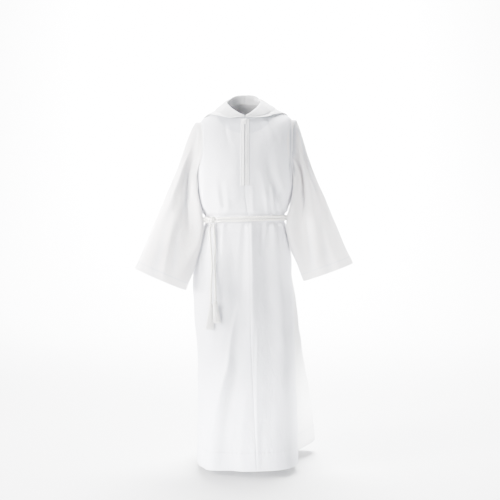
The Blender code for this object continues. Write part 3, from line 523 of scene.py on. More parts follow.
def neckPoint(angle):
    across, ahead = sinCos(angle)
    depth = np.where(ahead > 0, robe["neckFront"], robe["neckBack"])
    endHeight = np.where(ahead > 0, robe["neckFrontHeight"], robe["neckBackHeight"])
    height = between(robe["neckPointHeight"], endHeight, np.abs(ahead) ** robe["neckDip"])
    return np.stack([robe["neckHalfWidth"] * across, -depth * ahead, height], axis=-1)


def yokeParts(angle):
    # the armpit level, knee and neck seam of each line up the yoke, and its knee's weight
    across, ahead = sinCos(angle)
    low = sectionPoint(angle, np.full_like(across, robe["armpitHeight"]))
    top = neckPoint(angle)
    knee = between(low, top, robe["kneeShare"])
    centre = np.where(ahead > 0, robe["chestKnee"], robe["backKnee"])
    shoulder = np.where(across > 0, *robe["shoulderHeight"])
    knee[..., 2] = between(centre, shoulder, across**2)
    return low, knee, top, 1 + robe["kneeSharpness"] * across**4


def conicPoint(parts, t):
    low, knee, top, weight = parts
    a, b, c = (1 - t) ** 2, 2 * weight * t * (1 - t), t**2
    total = a[..., None] * low + b[..., None] * knee + c[..., None] * top
    return total / (a + b + c)[..., None]


def yokeLengths(parts):
    # how far above the armpit level each point of the lines up the yoke lies
    ts = np.linspace(0, 1, yokeSteps + 1)
    return runLengths(np.stack([conicPoint(parts, np.full(parts[-1].shape, t)) for t in ts]))


def yokePoint(angle, level):
    parts = yokeParts(angle)
    lengths = yokeLengths(parts)
    wanted = np.clip(level, 0, 1) * lengths[-1]
    index = np.clip((lengths < wanted).sum(axis=0) - 1, 0, yokeSteps - 1)
    before, after = (np.take_along_axis(lengths, index[None] + k, axis=0)[0] for k in (0, 1))
    part = (wanted - before) / np.maximum(after - before, 1e-9)
    return conicPoint(parts, (index + part) / yokeSteps)


def asArrays(*values):
    return np.broadcast_arrays(*(np.asarray(value, float) for value in values))


def plainPoint(angle, level):
    # the surface without its folds
    angle, level = asArrays(angle, level)
    across, ahead = sinCos(angle)
    height = robe["armpitHeight"] + np.minimum(level, 0)
    made = sectionPoint(angle, height)
    atLeft = bell(wrapped(angle), robe["hemLiftAngle"], robe["hemLiftSpread"])
    low = 1 - ramp(height, robe["hemHeight"], robe["hemLiftTop"])
    made[..., 2] += robe["hemLift"] * low * atLeft
    high = level > 0
    if high.any():
        made[high] = yokePoint(angle[high], level[high])
        lift = np.where(across > 0, *robe["shoulderLift"]) * robe["shoulderLiftWay"]
        lift = lift * bell(level, robe["armholeTop"] - 0.01, robe["shoulderLiftSpread"])
        lift = lift * np.abs(across) ** 8 * window(level, 0.0, 0.2, 0.85, 1.0)
        made[..., 0] += np.sign(across) * lift
        made[..., 2] += lift
    far = np.where(high, robe["yokeHeight"] * level, level)
    blunt = robe["blunt"] * (np.hypot(far, robe["bluntReach"]) - np.abs(far))
    made[..., 0] -= across * blunt
    made[..., 1] += ahead * blunt
    return made


def outwardAt(angle, level, turn=0.4, step=0.004):
    # from points a small turn and a small step apart
    angle, level = asArrays(angle, level)
    above, below = np.minimum(level + step, 1.0), np.maximum(level - step, hemLevel)
    up = plainPoint(angle, above) - plainPoint(angle, below)
    return unit(np.cross(plainPoint(angle + turn, level) - plainPoint(angle - turn, level), up))


def foldRise(angle, level):
    height = robe["armpitHeight"] + np.where(level <= 0, level, level * robe["yokeHeight"])
    total = np.zeros(np.broadcast(angle, level).shape)
    for topAngle, lowAngle, top, low, spread, topRise, lowRise in bodyFolds:
        part = (top - height) / (top - low)
        fade = robe["foldFade"] / (top - low)
        shown = window(part, -fade, fade, 1 - fade, 1 + fade)
        away = wrapped(angle - between(topAngle, lowAngle, part))
        total += between(topRise, lowRise, part) * shown * bell(away, 0, spread)
    return total * (1 - bell(height, robe["beltHeight"], robe["foldsPressed"], 4))


# finer creases, drawn as seen from the front and from behind, in millimetres:
# x and z of both ends, bow, width at both ends, rise at both ends; then sharpness
frontCreases = inMetres((
    # beside the armholes
    (137, -56, 134.5, -200, 1, 4.6, 5, -4.4, -3, 1.7),
    (129, -62, 126.5, -190, 1, 4.6, 6, 1.4, 1, 1.8),
    (-121.6, -81, -121.6, -328, 1, 4.2, 4.6, 1.8, 2.2, 1.7),
    # chest, falling from the neck and the shoulders
    (-59, -66, -43, -135, 2, 6, 10, -1.6, -0.6, 1.6),
    (-50, -62, -34, -130, 2, 7, 10, 1, 0.4, 1.8),
    (66, -44, 100, -118, -4, 7, 12, -2.6, -1, 1.6),
    (56, -52, 84, -120, -4, 8, 12, 1.8, 0.8, 1.8),
    (68, -150, 103, -285, 6, 16, 10, -2.2, -4.2, 1.7),
    (92, -150, 119, -270, 6, 14, 10, 1.6, 3.6, 1.8),
    (46, -190, 72, -300, 4, 14, 10, 0.6, 2.4, 1.8),
    (-86, -228, -72, -310, 2, 10, 8, 1, 2.2, 1.7),
    (-54, -236, -48, -312, 1, 9, 7, 0.8, 1.8, 1.7),
    (-70, -240, -61, -316, 1, 7, 6, -0.8, -1.8, 1.6),
    (-118, -140, -121, -300, -4, 10, 12, 2, 2.6, 1.8),
    (-128, -318, -116, -330, 0, 6, 5, -4, -4, 1.6),
    (-20, -150, -30, -290, 4, 22, 18, 0.8, 1.2, 1.9),
    (20, -235, 26, -330, 1, 9, 7, 1, 2.2, 1.7),
    # gathers at the wearer's left of the belt
    (60, -262, 66, -334, 0, 6, 4.2, 1.2, 4.2, 1.5),
    (73, -250, 77, -334, 1, 5, 3.8, -1.4, -4.4, 1.4),
    (79, -244, 85, -334, 1, 6, 4.2, 1.6, 4.6, 1.5),
    (90, -252, 96, -334, 1, 5, 3.6, -1.6, -5, 1.4),
    (99, -256, 104, -334, 1, 6, 4, 1.2, 4.4, 1.5),
    (109, -262, 113, -334, 1, 5, 3.6, -1.2, -4.4, 1.4),
    (62, -360, 58, -440, 0, 4.5, 8, 3, 1, 1.5),
    (53, -360, 48, -455, 0, 4.5, 10, -4, -1.6, 1.5),
    (73, -358, 74, -430, 0, 4, 8, -3.6, -1, 1.4),
    (83, -358, 88, -470, 0, 5, 12, 3.6, 1.6, 1.6),
    (95, -357, 103, -445, 0, 4.2, 10, -3.4, -1.2, 1.4),
    (106, -357, 116, -450, 0, 4.6, 10, 2.8, 1, 1.5),
    # skirt
    (20, -352, 26, -720, 2, 9, 16, 3, 1.8, 2),
    (0, -354, -10, -600, 2, 6, 20, -2.4, -2.2, 1.8),
    (-36, -400, -28, -800, 4, 18, 26, -3, -3, 2),
    (-64, -352, -68, -520, 2, 6, 18, 2, 1.4, 1.8),
    (36, -690, 36, -1000, 2, 3.5, 5, 1.4, 1, 1.5),
    (29, -700, 28, -1010, 2, 6, 8, -1, -0.8, 1.6),
    (-22, -600, -48, -800, 6, 7, 9, 1.4, 3.6, 1.6),
    (-46, -760, -108, -1096, 8, 9, 15, 3.6, 4.8, 1.6),
    (-22, -780, -76, -1096, 8, 14, 22, -2.6, -4, 1.9),
    (-86, -640, -132, -1000, 4, 14, 20, 1, 2.4, 1.9),
    (74, -560, 70, -1000, 4, 20, 24, -1.8, -1.4, 2),
    (104, -480, 112, -900, -4, 14, 20, 2.2, 1.4, 2),
    (4, -860, -14, -1096, 3, 10, 16, 1, 2.2, 1.8),
    (92, -900, 98, -1096, 2, 12, 20, 0.8, 2.2, 1.9),
    (54, -940, 52, -1096, 2, 10, 14, -0.8, -2, 1.8),
), 9)
# painted shade at the bottoms of the deepest folds: how dark they are, with depths in place of
# rises
deepFoldShades = inMetres((
    (137.2, -58, 136.8, -240, 0, 3.6, 3.6, 1.45, 1, 2),
    (153, -54, 150.8, -170, 1, 4.2, 4.4, 1.4, 0.9, 2),
    (145.5, -120, 144, -210, 1, 2.2, 3, 0.5, 0.4, 2),
    (159, -68, 185, -150, 0, 3.4, 3.4, 0.9, 0.6, 2),
    (188, -150, 218, -265, 2, 5, 10, 0.55, 0.35, 2),
    (116, -240, 110, -300, 1, 2.4, 3, 0.4, 0.5, 2),
), 7)
backCreases = inMetres((
    (-90, -80, -66, -260, -6, 10, 16, -2.2, -1.8, 1.7),
    (-108, -90, -92, -290, -6, 10, 14, 2.2, 2.6, 1.8),
    (94, -85, 58, -255, 6, 10, 16, -2.4, -1.6, 1.7),
    (112, -90, 90, -280, 6, 10, 14, 2.2, 2.4, 1.8),
    (-34, -200, -26, -330, 2, 14, 8, 0.6, 3, 1.7),
    (18, -215, 12, -330, 2, 14, 8, 0.6, 3, 1.7),
    (-8, -235, -6, -332, 1, 8, 5, -0.6, -3.4, 1.5),
    (44, -225, 40, -332, 1, 10, 6, -0.6, -3.4, 1.5),
    (-62, -245, -58, -332, 1, 9, 5, -0.6, -3.6, 1.5),
    (72, -240, 70, -332, 1, 10, 6, 0.8, 3.4, 1.6),
    (-84, -250, -82, -332, 1, 9, 6, 0.8, 3.4, 1.6),
    (-20, -360, -32, -700, 4, 5, 20, -3.4, -5, 1.8),
    (30, -360, 44, -760, 4, 5, 22, -3.4, -5, 1.8),
    (4, -360, 8, -900, 4, 6, 18, 3, 4, 1.8),
    (66, -360, 86, -820, 4, 6, 22, 2.6, 4, 1.8),
    (-60, -360, -74, -800, 4, 6, 22, 2.6, 4, 1.8),
    (-88, -360, -104, -760, 3, 5, 18, -2.6, -3.4, 1.7),
    (98, -360, 124, -700, 3, 5, 20, -2.6, -3.4, 1.7),
), 9)

waistGathers = {
    "count": 58,  # all round the belt
    "seed": 4,
    "up": (0.020, 0.070),  # lengths above the belt
    "down": (0.025, 0.110),
    "width": (0.0030, 0.0062),
    "rise": (0.0008, 0.0026),
    "lean": 26,
    # how much stronger they are at an angle, and how widely
    "wearerLeft": (1.5, 50, 30),
    "centreFront": (0.45, -8, 34),
    "waistRadius": 0.112,
}


def creaseRise(x, z, table):
    total = np.zeros(x.shape)
    for x1, z1, x2, z2, bow, width1, width2, rise1, rise2, sharp in table:
        dx, dz = x2 - x1, z2 - z1
        length = math.hypot(dx, dz)
        t = ((x - x1) * dx + (z - z1) * dz) / length**2
        inside = np.clip(t, 0, 1)
        side = ((x - x1) * dz - (z - z1) * dx) / length - bow * 4 * inside * (1 - inside)
        shown = window(t, -0.14, 0.18, 0.86, 1.12)
        across = np.abs(side / between(width1, width2, inside))
        total += between(rise1, rise2, inside) * shown * bell(across, 0, 1, sharp)
    return total


def gatherTable():
    chance = np.random.RandomState(waistGathers["seed"])
    rows = []
    for step in range(waistGathers["count"]):
        angle = -180 + 360 * (step + 0.75 * chance.rand()) / waistGathers["count"]
        rise = chance.uniform(*waistGathers["rise"])
        for key in ("wearerLeft", "centreFront"):
            stronger, centre, spread = waistGathers[key]
            rise *= between(1, stronger, bell(wrapped(angle), centre, spread))
        up, down, width = (chance.uniform(*waistGathers[key]) for key in ("up", "down", "width"))
        rows.append((angle, up, down, width, rise, chance.uniform(-1, 1) * waistGathers["lean"]))
    return rows


gathers = gatherTable()


def gatherRise(angle, height):
    away = height - robe["beltHeight"]
    total = np.zeros(np.broadcast(angle, height).shape)
    for at, up, down, width, rise, lean in gathers:
        far = np.where(away > 0, away / up, -away / down)
        shown = np.clip(1 - far, 0, 1) ** 1.6
        side = np.radians(wrapped(angle - (at + lean * away))) * waistGathers["waistRadius"]
        spread = width * (1 + 1.6 * np.clip(far, 0, 1))
        total += rise * shown * (bell(side, 0, spread) - 0.75 * bell(side, 1.9 * spread, spread))
    pressed = bell(away, 0, robe["creasesPressed"], 4)
    return total * (1 - np.where(total > 0, 1, 0.55) * pressed)


# slow uneven waves of the cloth: length, height in mm, direction x, y, z, phase
clothWaves = (
    (0.210, 0.60, 1, 0.3, 0.4, 0.3),
    (0.137, 0.42, -0.5, 1, 0.6, 1.9),
    (0.094, 0.30, 1, -0.6, -0.7, 4.1),
    (0.066, 0.22, 0.3, 0.8, -1, 2.7),
    (0.047, 0.14, -1, 0.2, 0.8, 5.2),
    (0.033, 0.09, 0.7, 0.9, 0.5, 0.8),
)


def softWaves(points, size):
    total = np.zeros(points.shape[:-1])
    for length, rise, *way, phase in clothWaves:
        total += rise * np.sin(points @ unit(np.array(way)) * 2 * math.pi / length + phase)
    return total * size


def hemRise(angle, fromEdge, hem):
    around = np.radians(angle) * hem["radius"] * 2 * math.pi
    width, (length, fineLength) = hem["width"], hem["lengths"]
    double = ramp(fromEdge, width + robe["hemStep"], width - robe["hemStep"]) * robe["hemDouble"]
    puckers = np.sin(around / length) + 0.7 * np.sin(around / fineLength + hem["phase"])
    puckers = puckers * bell(fromEdge, width, hem["spread"]) * hem["pucker"]
    waves = np.sin(around / hem["waveLength"] + 0.6) * bell(fromEdge, 0, hem["waveSpread"])
    return double + puckers + waves * hem["wave"]


def hemShade(fromEdge, hem):
    # darker along the stitching
    return hem["shade"] * bell(fromEdge, hem["width"], robe["stitchShade"])


def seamDip(distance):
    return -robe["seamDepth"] * bell(distance, 0, robe["seamWidth"])


def detailRise(angle, level, plain):
    x, z = plain[..., 0], plain[..., 2]
    ahead = sinCos(angle)[1]
    height = np.where(level <= 0, robe["armpitHeight"] + level, z)
    total = creaseRise(x, z, frontCreases) * ramp(ahead, 0.02, 0.35)
    total = (total + creaseRise(x, z, backCreases) * ramp(-ahead, 0.02, 0.35)) * robe["creaseSize"]
    away = height - robe["beltHeight"]
    calm = 1 - bell(away, 0, robe["creasesPressed"], 4)
    total = np.where(total > 0, total * calm, total * (0.4 + 0.6 * calm))
    total += gatherRise(angle, height) + softWaves(plain, 0.0015) * calm
    blouse = sum(bell(away, centre, spread) * rise for centre, spread, rise in blouses)
    total += blouse * (1 + 0.4 * sinCos(angle * 9)[0])
    total += hemRise(angle, height - robe["hemHeight"], hems["skirt"])
    zipArea = bell(x, 0, robe["zipCalm"], 4) * ramp(z, *robe["zipCalmHeights"]) * (ahead > 0)
    return total * (1 - 0.85 * zipArea)


def robePoint(angle, level, off=0.0, detailed=True):
    # the cords were laid on the surface without its details
    plain = plainPoint(angle, level)
    rise = foldRise(angle, level) + off
    if detailed:
        rise = rise + detailRise(angle, level, plain)
    return plain + outwardAt(angle, level) * rise[..., None]


# cord routes

cincture = {
    "diameter": 0.0080,
    "spacing": 0.0086,
    "standoff": 0.0010,
    "knotAngle": -50.0,
    "knotLength": 0.044,
    "knotRadius": 0.0090,
    "knotBulge": 0.0016,
    "knotWraps": 4.6,
    "knotWobble": 0.035,
    "knotCore": 1.25,  # width of the cord inside the wraps, in cords
    "knotStart": 0.8,  # turn at which its wraps start
    "knotUneven": 1.7,
    "offKnot": 27.0,
    "tuck": 0.0030,
    "layerGap": 0.0003,
    "twist": 0.026,  # length of one turn of the cord's three strands
    "ring": 0.0013,  # length of one ring of the cord's mesh
    "around": 24,
}
endRoutes = {  # how far along the knot each starts; then x, z and how far off the cloth
    "cord_end_front": (0.0035, (
        (-0.100, -0.380, 0.013),
        (-0.096, -0.430, 0.012),
        (-0.091, -0.485, 0.016),
        (-0.096, -0.535, 0.012),
        (-0.0975, -0.585, 0.010),
    )),
    "cord_end_back": (0.0150, (
        (-0.089, -0.380, 0.010),
        (-0.086, -0.430, 0.0062),
        (-0.0885, -0.485, 0.0058),
        (-0.085, -0.535, 0.010),
        (-0.0825, -0.576, 0.015),
    )),
}
knotOutside = cincture["knotRadius"] + cincture["knotBulge"] + cincture["layerGap"]


def knotFrame():
    out = outwardAt(cincture["knotAngle"], beltLevel)
    off = knotOutside + cincture["layerGap"]
    centre = plainPoint(cincture["knotAngle"], beltLevel) + out * off
    up = np.array([0.0, 0.0, 1.0])
    return centre, unit(np.cross(up, out)), out, up


def beltRoute(lift):
    centre, along, out, up = knotFrame()
    end = cincture["knotLength"] / 2 + cincture["layerGap"] * 2
    inset = centre + up * lift - out * cincture["tuck"]
    leads = (0.0, 0.004, 0.008)
    first = [inset + along * (end + far) for far in leads]
    last = [inset - along * (end + far) for far in leads[::-1]]
    turn, off = cincture["knotAngle"], cincture["offKnot"]
    angles = np.linspace(turn + off, turn + 360 - off, 60)
    off = cincture["diameter"] / 2 + cincture["standoff"]
    middle = robePoint(angles, np.full_like(angles, beltLevel + lift), off, detailed=False)
    return roundedCurve(np.vstack([first, middle, last]), 2)


def frontPlace(x, height):
    # angle and level of the point of the front so far across and so high
    x, height = asArrays(x, height)
    angle = np.zeros(x.shape)
    for _ in range(3):
        level = found(lambda trial: plainPoint(angle, trial)[..., 2], height, hemLevel, 1.0)
        angle = found(lambda trial: plainPoint(trial, level)[..., 0], x, -85.0, 85.0)
    return angle, level


def endRoute(start, places):
    centre, along, _, up = knotFrame()
    top = centre + along * start - up * knotOutside
    x, z, off = np.array(places).T
    middle = robePoint(*frontPlace(x, z), off, detailed=False)
    drop = up * 0.010
    return roundedCurve(np.vstack([[top, top - drop], middle, [middle[-1] - drop]]), 4)


routes = {name: endRoute(*route) for name, route in endRoutes.items()}
routes["belt_cord_upper"] = beltRoute(cincture["spacing"] / 2)
routes["belt_cord_lower"] = beltRoute(-cincture["spacing"] / 2)
print("cord routes laid")


# materials

def link(tree, value, socket):
    if isinstance(value, bpy.types.NodeSocket):
        tree.links.new(value, socket)
    else:
        socket.default_value = value


def fill(tree, node, inputs):
    for key, value in inputs.items():
        link(tree, value, node.inputs[key])
    return node


def addNode(tree, kind, inputs={}, **settings):
    node = tree.nodes.new("ShaderNode" + kind)
    for key, value in settings.items():
        setattr(node, key, value)
    return fill(tree, node, inputs)


def mathNode(tree, operation, *values):
    return addNode(tree, "Math", dict(enumerate(values)), operation=operation).outputs[0]


def noiseNode(tree, vector, scale, detail=3.0, roughness=0.5, distortion=0.0):
    inputs = {"Vector": vector, "Scale": scale, "Detail": detail}
    inputs.update({"Roughness": roughness, "Distortion": distortion})
    return addNode(tree, "TexNoise", inputs).outputs["Fac"]


def bumpNode(tree, height, distance, strength, **more):
    inputs = {"Distance": distance, "Strength": strength, "Height": height, **more}
    return addNode(tree, "Bump", inputs).outputs[0]


def mixColour(tree, amount, *colours):
    first, second = (
        (*colour, 1) if isinstance(colour, tuple) else colour for colour in colours)
    inputs = {0: amount, 6: first, 7: second}
    return addNode(tree, "Mix", inputs, data_type="RGBA").outputs[2]


def uvOf(tree):
    return addNode(tree, "UVMap").outputs[0]


def objectOf(tree):
    return addNode(tree, "TexCoord").outputs["Object"]


def newGroup(name, parameter, value):
    # each group makes a height and a tone from a place in metres and one number
    tree = bpy.data.node_groups.new(name, "ShaderNodeTree")
    tree.interface.new_socket("Vector", in_out="INPUT", socket_type="NodeSocketVector")
    socket = tree.interface.new_socket(parameter, in_out="INPUT", socket_type="NodeSocketFloat")
    socket.default_value = value
    for label in ("Height", "Tone"):
        tree.interface.new_socket(label, in_out="OUTPUT", socket_type="NodeSocketFloat")
    ins, outs = tree.nodes.new("NodeGroupInput"), tree.nodes.new("NodeGroupOutput")
    return tree, ins.outputs["Vector"], ins.outputs[parameter], outs


def weaveGroup():
    # threads over and under each other
    tree, where, pitch, outs = newGroup("plainWeave", "Pitch", 0.0005)
    parts = addNode(tree, "SeparateXYZ", {0: where}).outputs
    turns = mathNode(tree, "DIVIDE", math.pi, pitch)
    warp, weft = (
        mathNode(tree, "SINE", mathNode(tree, "MULTIPLY", parts[axis], turns)) for axis in (0, 1))
    over = mathNode(tree, "GREATER_THAN", mathNode(tree, "MULTIPLY", warp, weft), 0.0)
    under = mathNode(tree, "SUBTRACT", 1.0, over)
    above = mathNode(tree, "MULTIPLY", mathNode(tree, "ABSOLUTE", warp), over)
    below = mathNode(tree, "MULTIPLY", mathNode(tree, "ABSOLUTE", weft), under)
    height = mathNode(tree, "ADD", above, below)
    slubs = noiseNode(tree, where, 900.0, 2.0)
    fill(tree, outs, {"Height": mathNode(tree, "MULTIPLY_ADD", slubs, 0.5, height), "Tone": slubs})
    return tree


def wrinkleGroup():
    # faint handling creases, longer one way than the other
    tree, where, scale, outs = newGroup("handlingCreases", "Scale", 20.0)
    turned = {"Scale": (1.0, 1.0, 0.55), "Rotation": (0.3, 0.2, 0.4), "Vector": where}
    stretched = addNode(tree, "Mapping", turned).outputs[0]
    broad = noiseNode(tree, stretched, scale, 4.0, 0.45, 0.6)
    fine = noiseNode(tree, stretched, mathNode(tree, "MULTIPLY", scale, 3.1), 3.0, 0.5, 0.3)
    ridges = mathNode(tree, "ABSOLUTE", mathNode(tree, "SUBTRACT", fine, 0.5))
    fill(tree, outs, {"Height": mathNode(tree, "MULTIPLY_ADD", ridges, -0.9, broad), "Tone": broad})
    return tree


def fibreGroup():
    # fine yarns lying along a cord, whose u runs round it and v along it
    tree, where, width, outs = newGroup("cottonYarns", "Yarn", 0.0009)
    parts = addNode(tree, "SeparateXYZ", {0: where}).outputs
    lean = mathNode(tree, "MULTIPLY_ADD", parts[1], -0.85, parts[0])
    wander = noiseNode(tree, where, 500.0, 2.0)
    turned = mathNode(tree, "MULTIPLY", lean, mathNode(tree, "DIVIDE", math.pi, width))
    wave = mathNode(tree, "SINE", mathNode(tree, "MULTIPLY_ADD", wander, 1.4, turned))
    yarn = mathNode(tree, "ABSOLUTE", wave)
    fuzz = noiseNode(tree, where, 3200.0, 2.0)
    tone = mathNode(tree, "MULTIPLY_ADD", yarn, 0.5, mathNode(tree, "MULTIPLY", fuzz, 0.5))
    fill(tree, outs, {"Height": mathNode(tree, "MULTIPLY_ADD", fuzz, 0.6, yarn), "Tone": tone})
    return tree


weave, wrinkles, yarns = weaveGroup(), wrinkleGroup(), fibreGroup()

clothLook = {
    # painted shade: the colour mixed in along the valleys of the creases
    "valley": (0.690, 0.705, 0.750),
    # painted shade: the colour at the bottom of the deepest folds
    "fold": (0.330, 0.340, 0.390),  # at the bottom of the deepest folds
    # painted shade where the neck facing lies behind the cloth
    "backed": (0.560, 0.580, 0.640),  # where a second layer lies behind the cloth
    "mottle": 0.10,
    "roughness": 0.82,
    "sheen": 0.12,
    "through": 0.0060,  # how far light travels in the cloth
    "pitch": 0.00052,
    "creaseScale": 16.0,
}


def startMaterial(name):
    material = bpy.data.materials.new(name)
    material.use_nodes = True
    tree = material.node_tree
    return material, tree, tree.nodes["Principled BSDF"]


def attributeOf(tree, name):
    return addNode(tree, "Attribute", attribute_name=name).outputs["Fac"]


def clothMaterial(name, light, coords, through, shaded=True, backed=False):
    material, tree, shader = startMaterial(name)
    threadInputs = {"Vector": coords(tree), "Pitch": clothLook["pitch"]}
    thread = addNode(tree, "Group", threadInputs, node_tree=weave).outputs
    creaseInputs = {"Vector": objectOf(tree), "Scale": clothLook["creaseScale"]}
    crease = addNode(tree, "Group", creaseInputs, node_tree=wrinkles).outputs
    fine = mathNode(tree, "MULTIPLY", thread["Tone"], 0.35)
    tone = mathNode(tree, "MULTIPLY_ADD", crease["Tone"], 0.9, fine)
    spread = mathNode(tree, "MULTIPLY", mathNode(tree, "SUBTRACT", tone, 0.42), 1.6)
    darker = tuple(channel * (1 - clothLook["mottle"]) for channel in light)
    colour = mixColour(tree, spread, darker, light)
    # painted shade: the shade attribute mixes in the valley colour along crease valleys and the
    # fold colour at the bottom of the deepest folds
    if shaded:
        shade = attributeOf(tree, "shade")
        valley = mathNode(tree, "MULTIPLY_ADD", shade, 1.6, -0.62)
        colour = mixColour(tree, valley, colour, clothLook["valley"])
        colour = mixColour(tree, mathNode(tree, "SUBTRACT", shade, 1.0), colour, clothLook["fold"])
    # painted shade where the neck facing lies behind the cloth
    if backed:
        colour = mixColour(tree, attributeOf(tree, "backed"), colour, clothLook["backed"])
    creased = bumpNode(tree, crease["Height"], 0.0035, 0.55)
    fill(tree, shader, {
        "Base Color": colour,
        "Roughness": clothLook["roughness"],
        "Sheen Weight": clothLook["sheen"],
        "Specular IOR Level": 0.25,
        "Subsurface Weight": through,
        "Subsurface Radius": (1.0, 1.0, 1.0),
        "Subsurface Scale": clothLook["through"],
        "Normal": bumpNode(tree, thread["Height"], 0.00009, 0.7, Normal=creased),
    })
    return material


def ropeMaterial():
    material, tree, shader = startMaterial("cottonRope")
    yarn = addNode(tree, "Group", {"Vector": uvOf(tree), "Yarn": 0.0009}, node_tree=yarns).outputs
    blotch = noiseNode(tree, objectOf(tree), 60.0)
    fine = mathNode(tree, "MULTIPLY", yarn["Tone"], 0.7)
    tone = mathNode(tree, "MULTIPLY_ADD", blotch, 0.5, fine)
    fill(tree, shader, {
        "Base Color": mixColour(tree, tone, (0.80, 0.79, 0.73), (0.96, 0.955, 0.92)),
        "Roughness": 0.88,
        "Sheen Weight": 0.25,
        "Specular IOR Level": 0.2,
        "Normal": bumpNode(tree, yarn["Height"], 0.0003, 0.8),
    })
    return material


def strandMaterial(name, dark, light, scale):
    material, tree, shader = startMaterial(name)
    where = objectOf(tree)
    fuzz = noiseNode(tree, where, scale * 14, 2.0)
    fill(tree, shader, {
        "Base Color": mixColour(tree, noiseNode(tree, where, scale), dark, light),
        "Roughness": 0.85,
        "Sheen Weight": 0.2,
        "Normal": bumpNode(tree, fuzz, 0.0002, 0.6),
    })
    return material


def lacquerMaterial():
    # white lacquered metal of the slider, rubbed a little at random
    material, tree, shader = startMaterial("zipLacquer")
    where = objectOf(tree)
    rub = noiseNode(tree, where, 420.0, 4.0, 0.6)
    worn = mathNode(tree, "MULTIPLY", mathNode(tree, "GREATER_THAN", rub, 0.66), 0.5)
    fill(tree, shader, {
        "Base Color": mixColour(tree, worn, (0.80, 0.80, 0.80), (0.52, 0.52, 0.54)),
        "Roughness": mathNode(tree, "MULTIPLY_ADD", rub, 0.25, 0.22),
        "Normal": bumpNode(tree, noiseNode(tree, where, 1500.0, 2.0), 0.00004, 0.5),
    })
    return material


# painted shade: the zip's tape and teeth are painted grey for the shade in the slot between the
# welts
zipShadeGrey = (0.64, 0.65, 0.68)
looks = {
    # one white cloth in lit and shaded copies: painted shade makes the body darker and bluer, and
    # the sleeves, back, hood and welts are painted lighter where more light falls on them or shines
    # through
    "body": clothMaterial("albClothBody", (0.825, 0.838, 0.900), uvOf, 0.12, backed=True),
    "back": clothMaterial("albClothBack", (0.920, 0.915, 0.925), uvOf, 1.0),
    "sleeve": clothMaterial("albClothSleeve", (0.985, 0.940, 0.942), uvOf, 1.0),
    "hood": clothMaterial("albClothHood", (0.890, 0.895, 0.910), uvOf, 0.35),
    "welt": clothMaterial("albClothWelt", (0.950, 0.950, 0.960), uvOf, 0.35),
    "facing": clothMaterial("albClothFacing", (0.880, 0.890, 0.900), objectOf, 0.2, shaded=False),
    "rope": ropeMaterial(),
    "tassel": strandMaterial("tasselYarn", (0.93, 0.925, 0.90), (0.985, 0.98, 0.965), 180.0),
    "thread": strandMaterial("sewingThread", (0.80, 0.81, 0.82), (0.92, 0.92, 0.92), 500.0),
    "teeth": strandMaterial("zipTeeth", zipShadeGrey, (0.80, 0.80, 0.82), 240.0),
    "tape": clothMaterial("zipTape", zipShadeGrey, objectOf, 0.2, shaded=False),
    "lacquer": lacquerMaterial(),
}
print("materials made")


# body panels and the zip's opening between them

zipSizes = {
    "top": -0.0400,
    "bottom": -0.242,
    "opens": (-0.254, -0.242),  # heights between which the opening widens
    "gapHalf": 0.0020,  # at the slider
    "gapBelow": 0.0015,
    "weltWidth": 0.0110,
    "weltThickness": 0.0008,
    "weltSeam": 0.70,  # share of its width where its stitching lies
    "lift": 0.0020,
    "ripple": 0.00018,  # height and length of the ripples along its stitching
    "rippleLength": 0.0115,
    "toothPitch": 0.00105,
    "toothSize": (0.0019, 0.00085, 0.00062),
    "toothOff": 0.00042,  # how far each tooth stands to its side
    "sliderHeight": -0.0500,
}


def sideAngle(level, spread):
    across = 2 * level / robe["armholeTop"] - 1
    cut = spread * np.sqrt(np.clip(1 - across**2, 0, 1))
    return 90 - np.where((level > 0) & (level < robe["armholeTop"]), cut, 0)


def panelLevels():
    below = np.linspace(hemLevel, 0, int(-hemLevel / robe["cell"]) + 1)
    armhole = robe["armholeTop"] / 2 * (1 - np.cos(np.linspace(0, math.pi, 45)))
    above = np.linspace(robe["armholeTop"], 1, 26)
    return np.concatenate([below, armhole[1:], above[1:]])


def evenShares(count):
    # shares of a quarter turn that lie evenly along the cloth, and one close to the seam
    fine = np.linspace(0, 1, 400)
    line = sectionPoint(fine * 90, np.full(400, -0.60))
    lengths = runLengths(line[:, :2])
    shares = np.interp(np.linspace(0, 1, count) * lengths[-1], lengths, fine)
    return np.concatenate([shares[:-1], [0.994, 1.0]])


def seamDistance(points):
    # metres from a grid's first or last line
    ends = [np.linalg.norm(points - line, axis=-1) for line in (points[:1], points[-1:])]
    return np.minimum(np.minimum(*ends), 1.0)


# where the painted shade of the neck facing lies
facingShadeSizes = {
    "share": 0.85,
    "edge": (0.079, 0.083),  # how far from the neck's centre it ends
    "stretch": 1.10,
    "centreHeight": -0.010,
}


def backedShare(points):
    # painted shade where the facing lies behind the neck, standing in for it showing through a
    # little
    x, z = points[..., 0] / facingShadeSizes["stretch"], points[..., 2] - facingShadeSizes["centreHeight"]
    shown = 1 - ramp(np.hypot(x, z), *facingShadeSizes["edge"])
    return shown * (points[..., 1] < 0) * facingShadeSizes["share"]


def valleyShade(rise):
    # 0.5 on level cloth, up to 2 in the valleys of its creases and less on their ridges
    return np.clip(0.5 - rise / robe["shadeDepth"], 0, 2)


def besideArmhole(fromSide, levels):
    # 0 on the armhole seam and 1 a little way in from it
    near = window(levels, -0.015, 0.0, robe["armholeTop"] - 0.05, robe["armholeTop"])
    return 1 - near * (1 - ramp(fromSide * robe["degree"], 0.0, robe["besideArmhole"]))


def underHood(angles, levels):
    # the shade under the hood's front edge, fading just below it
    size = np.abs(wrapped(angles))
    length = np.interp(size, *hoodSpan)
    above = (levels - 1) * length + hoodCurves[1](size)
    near = bell(np.minimum(above - 0.001, 0), 0, hood["shadeSpread"]) * (levels > 0)
    return near * window(size, *hood["shadeAngles"]) * hood["shade"]


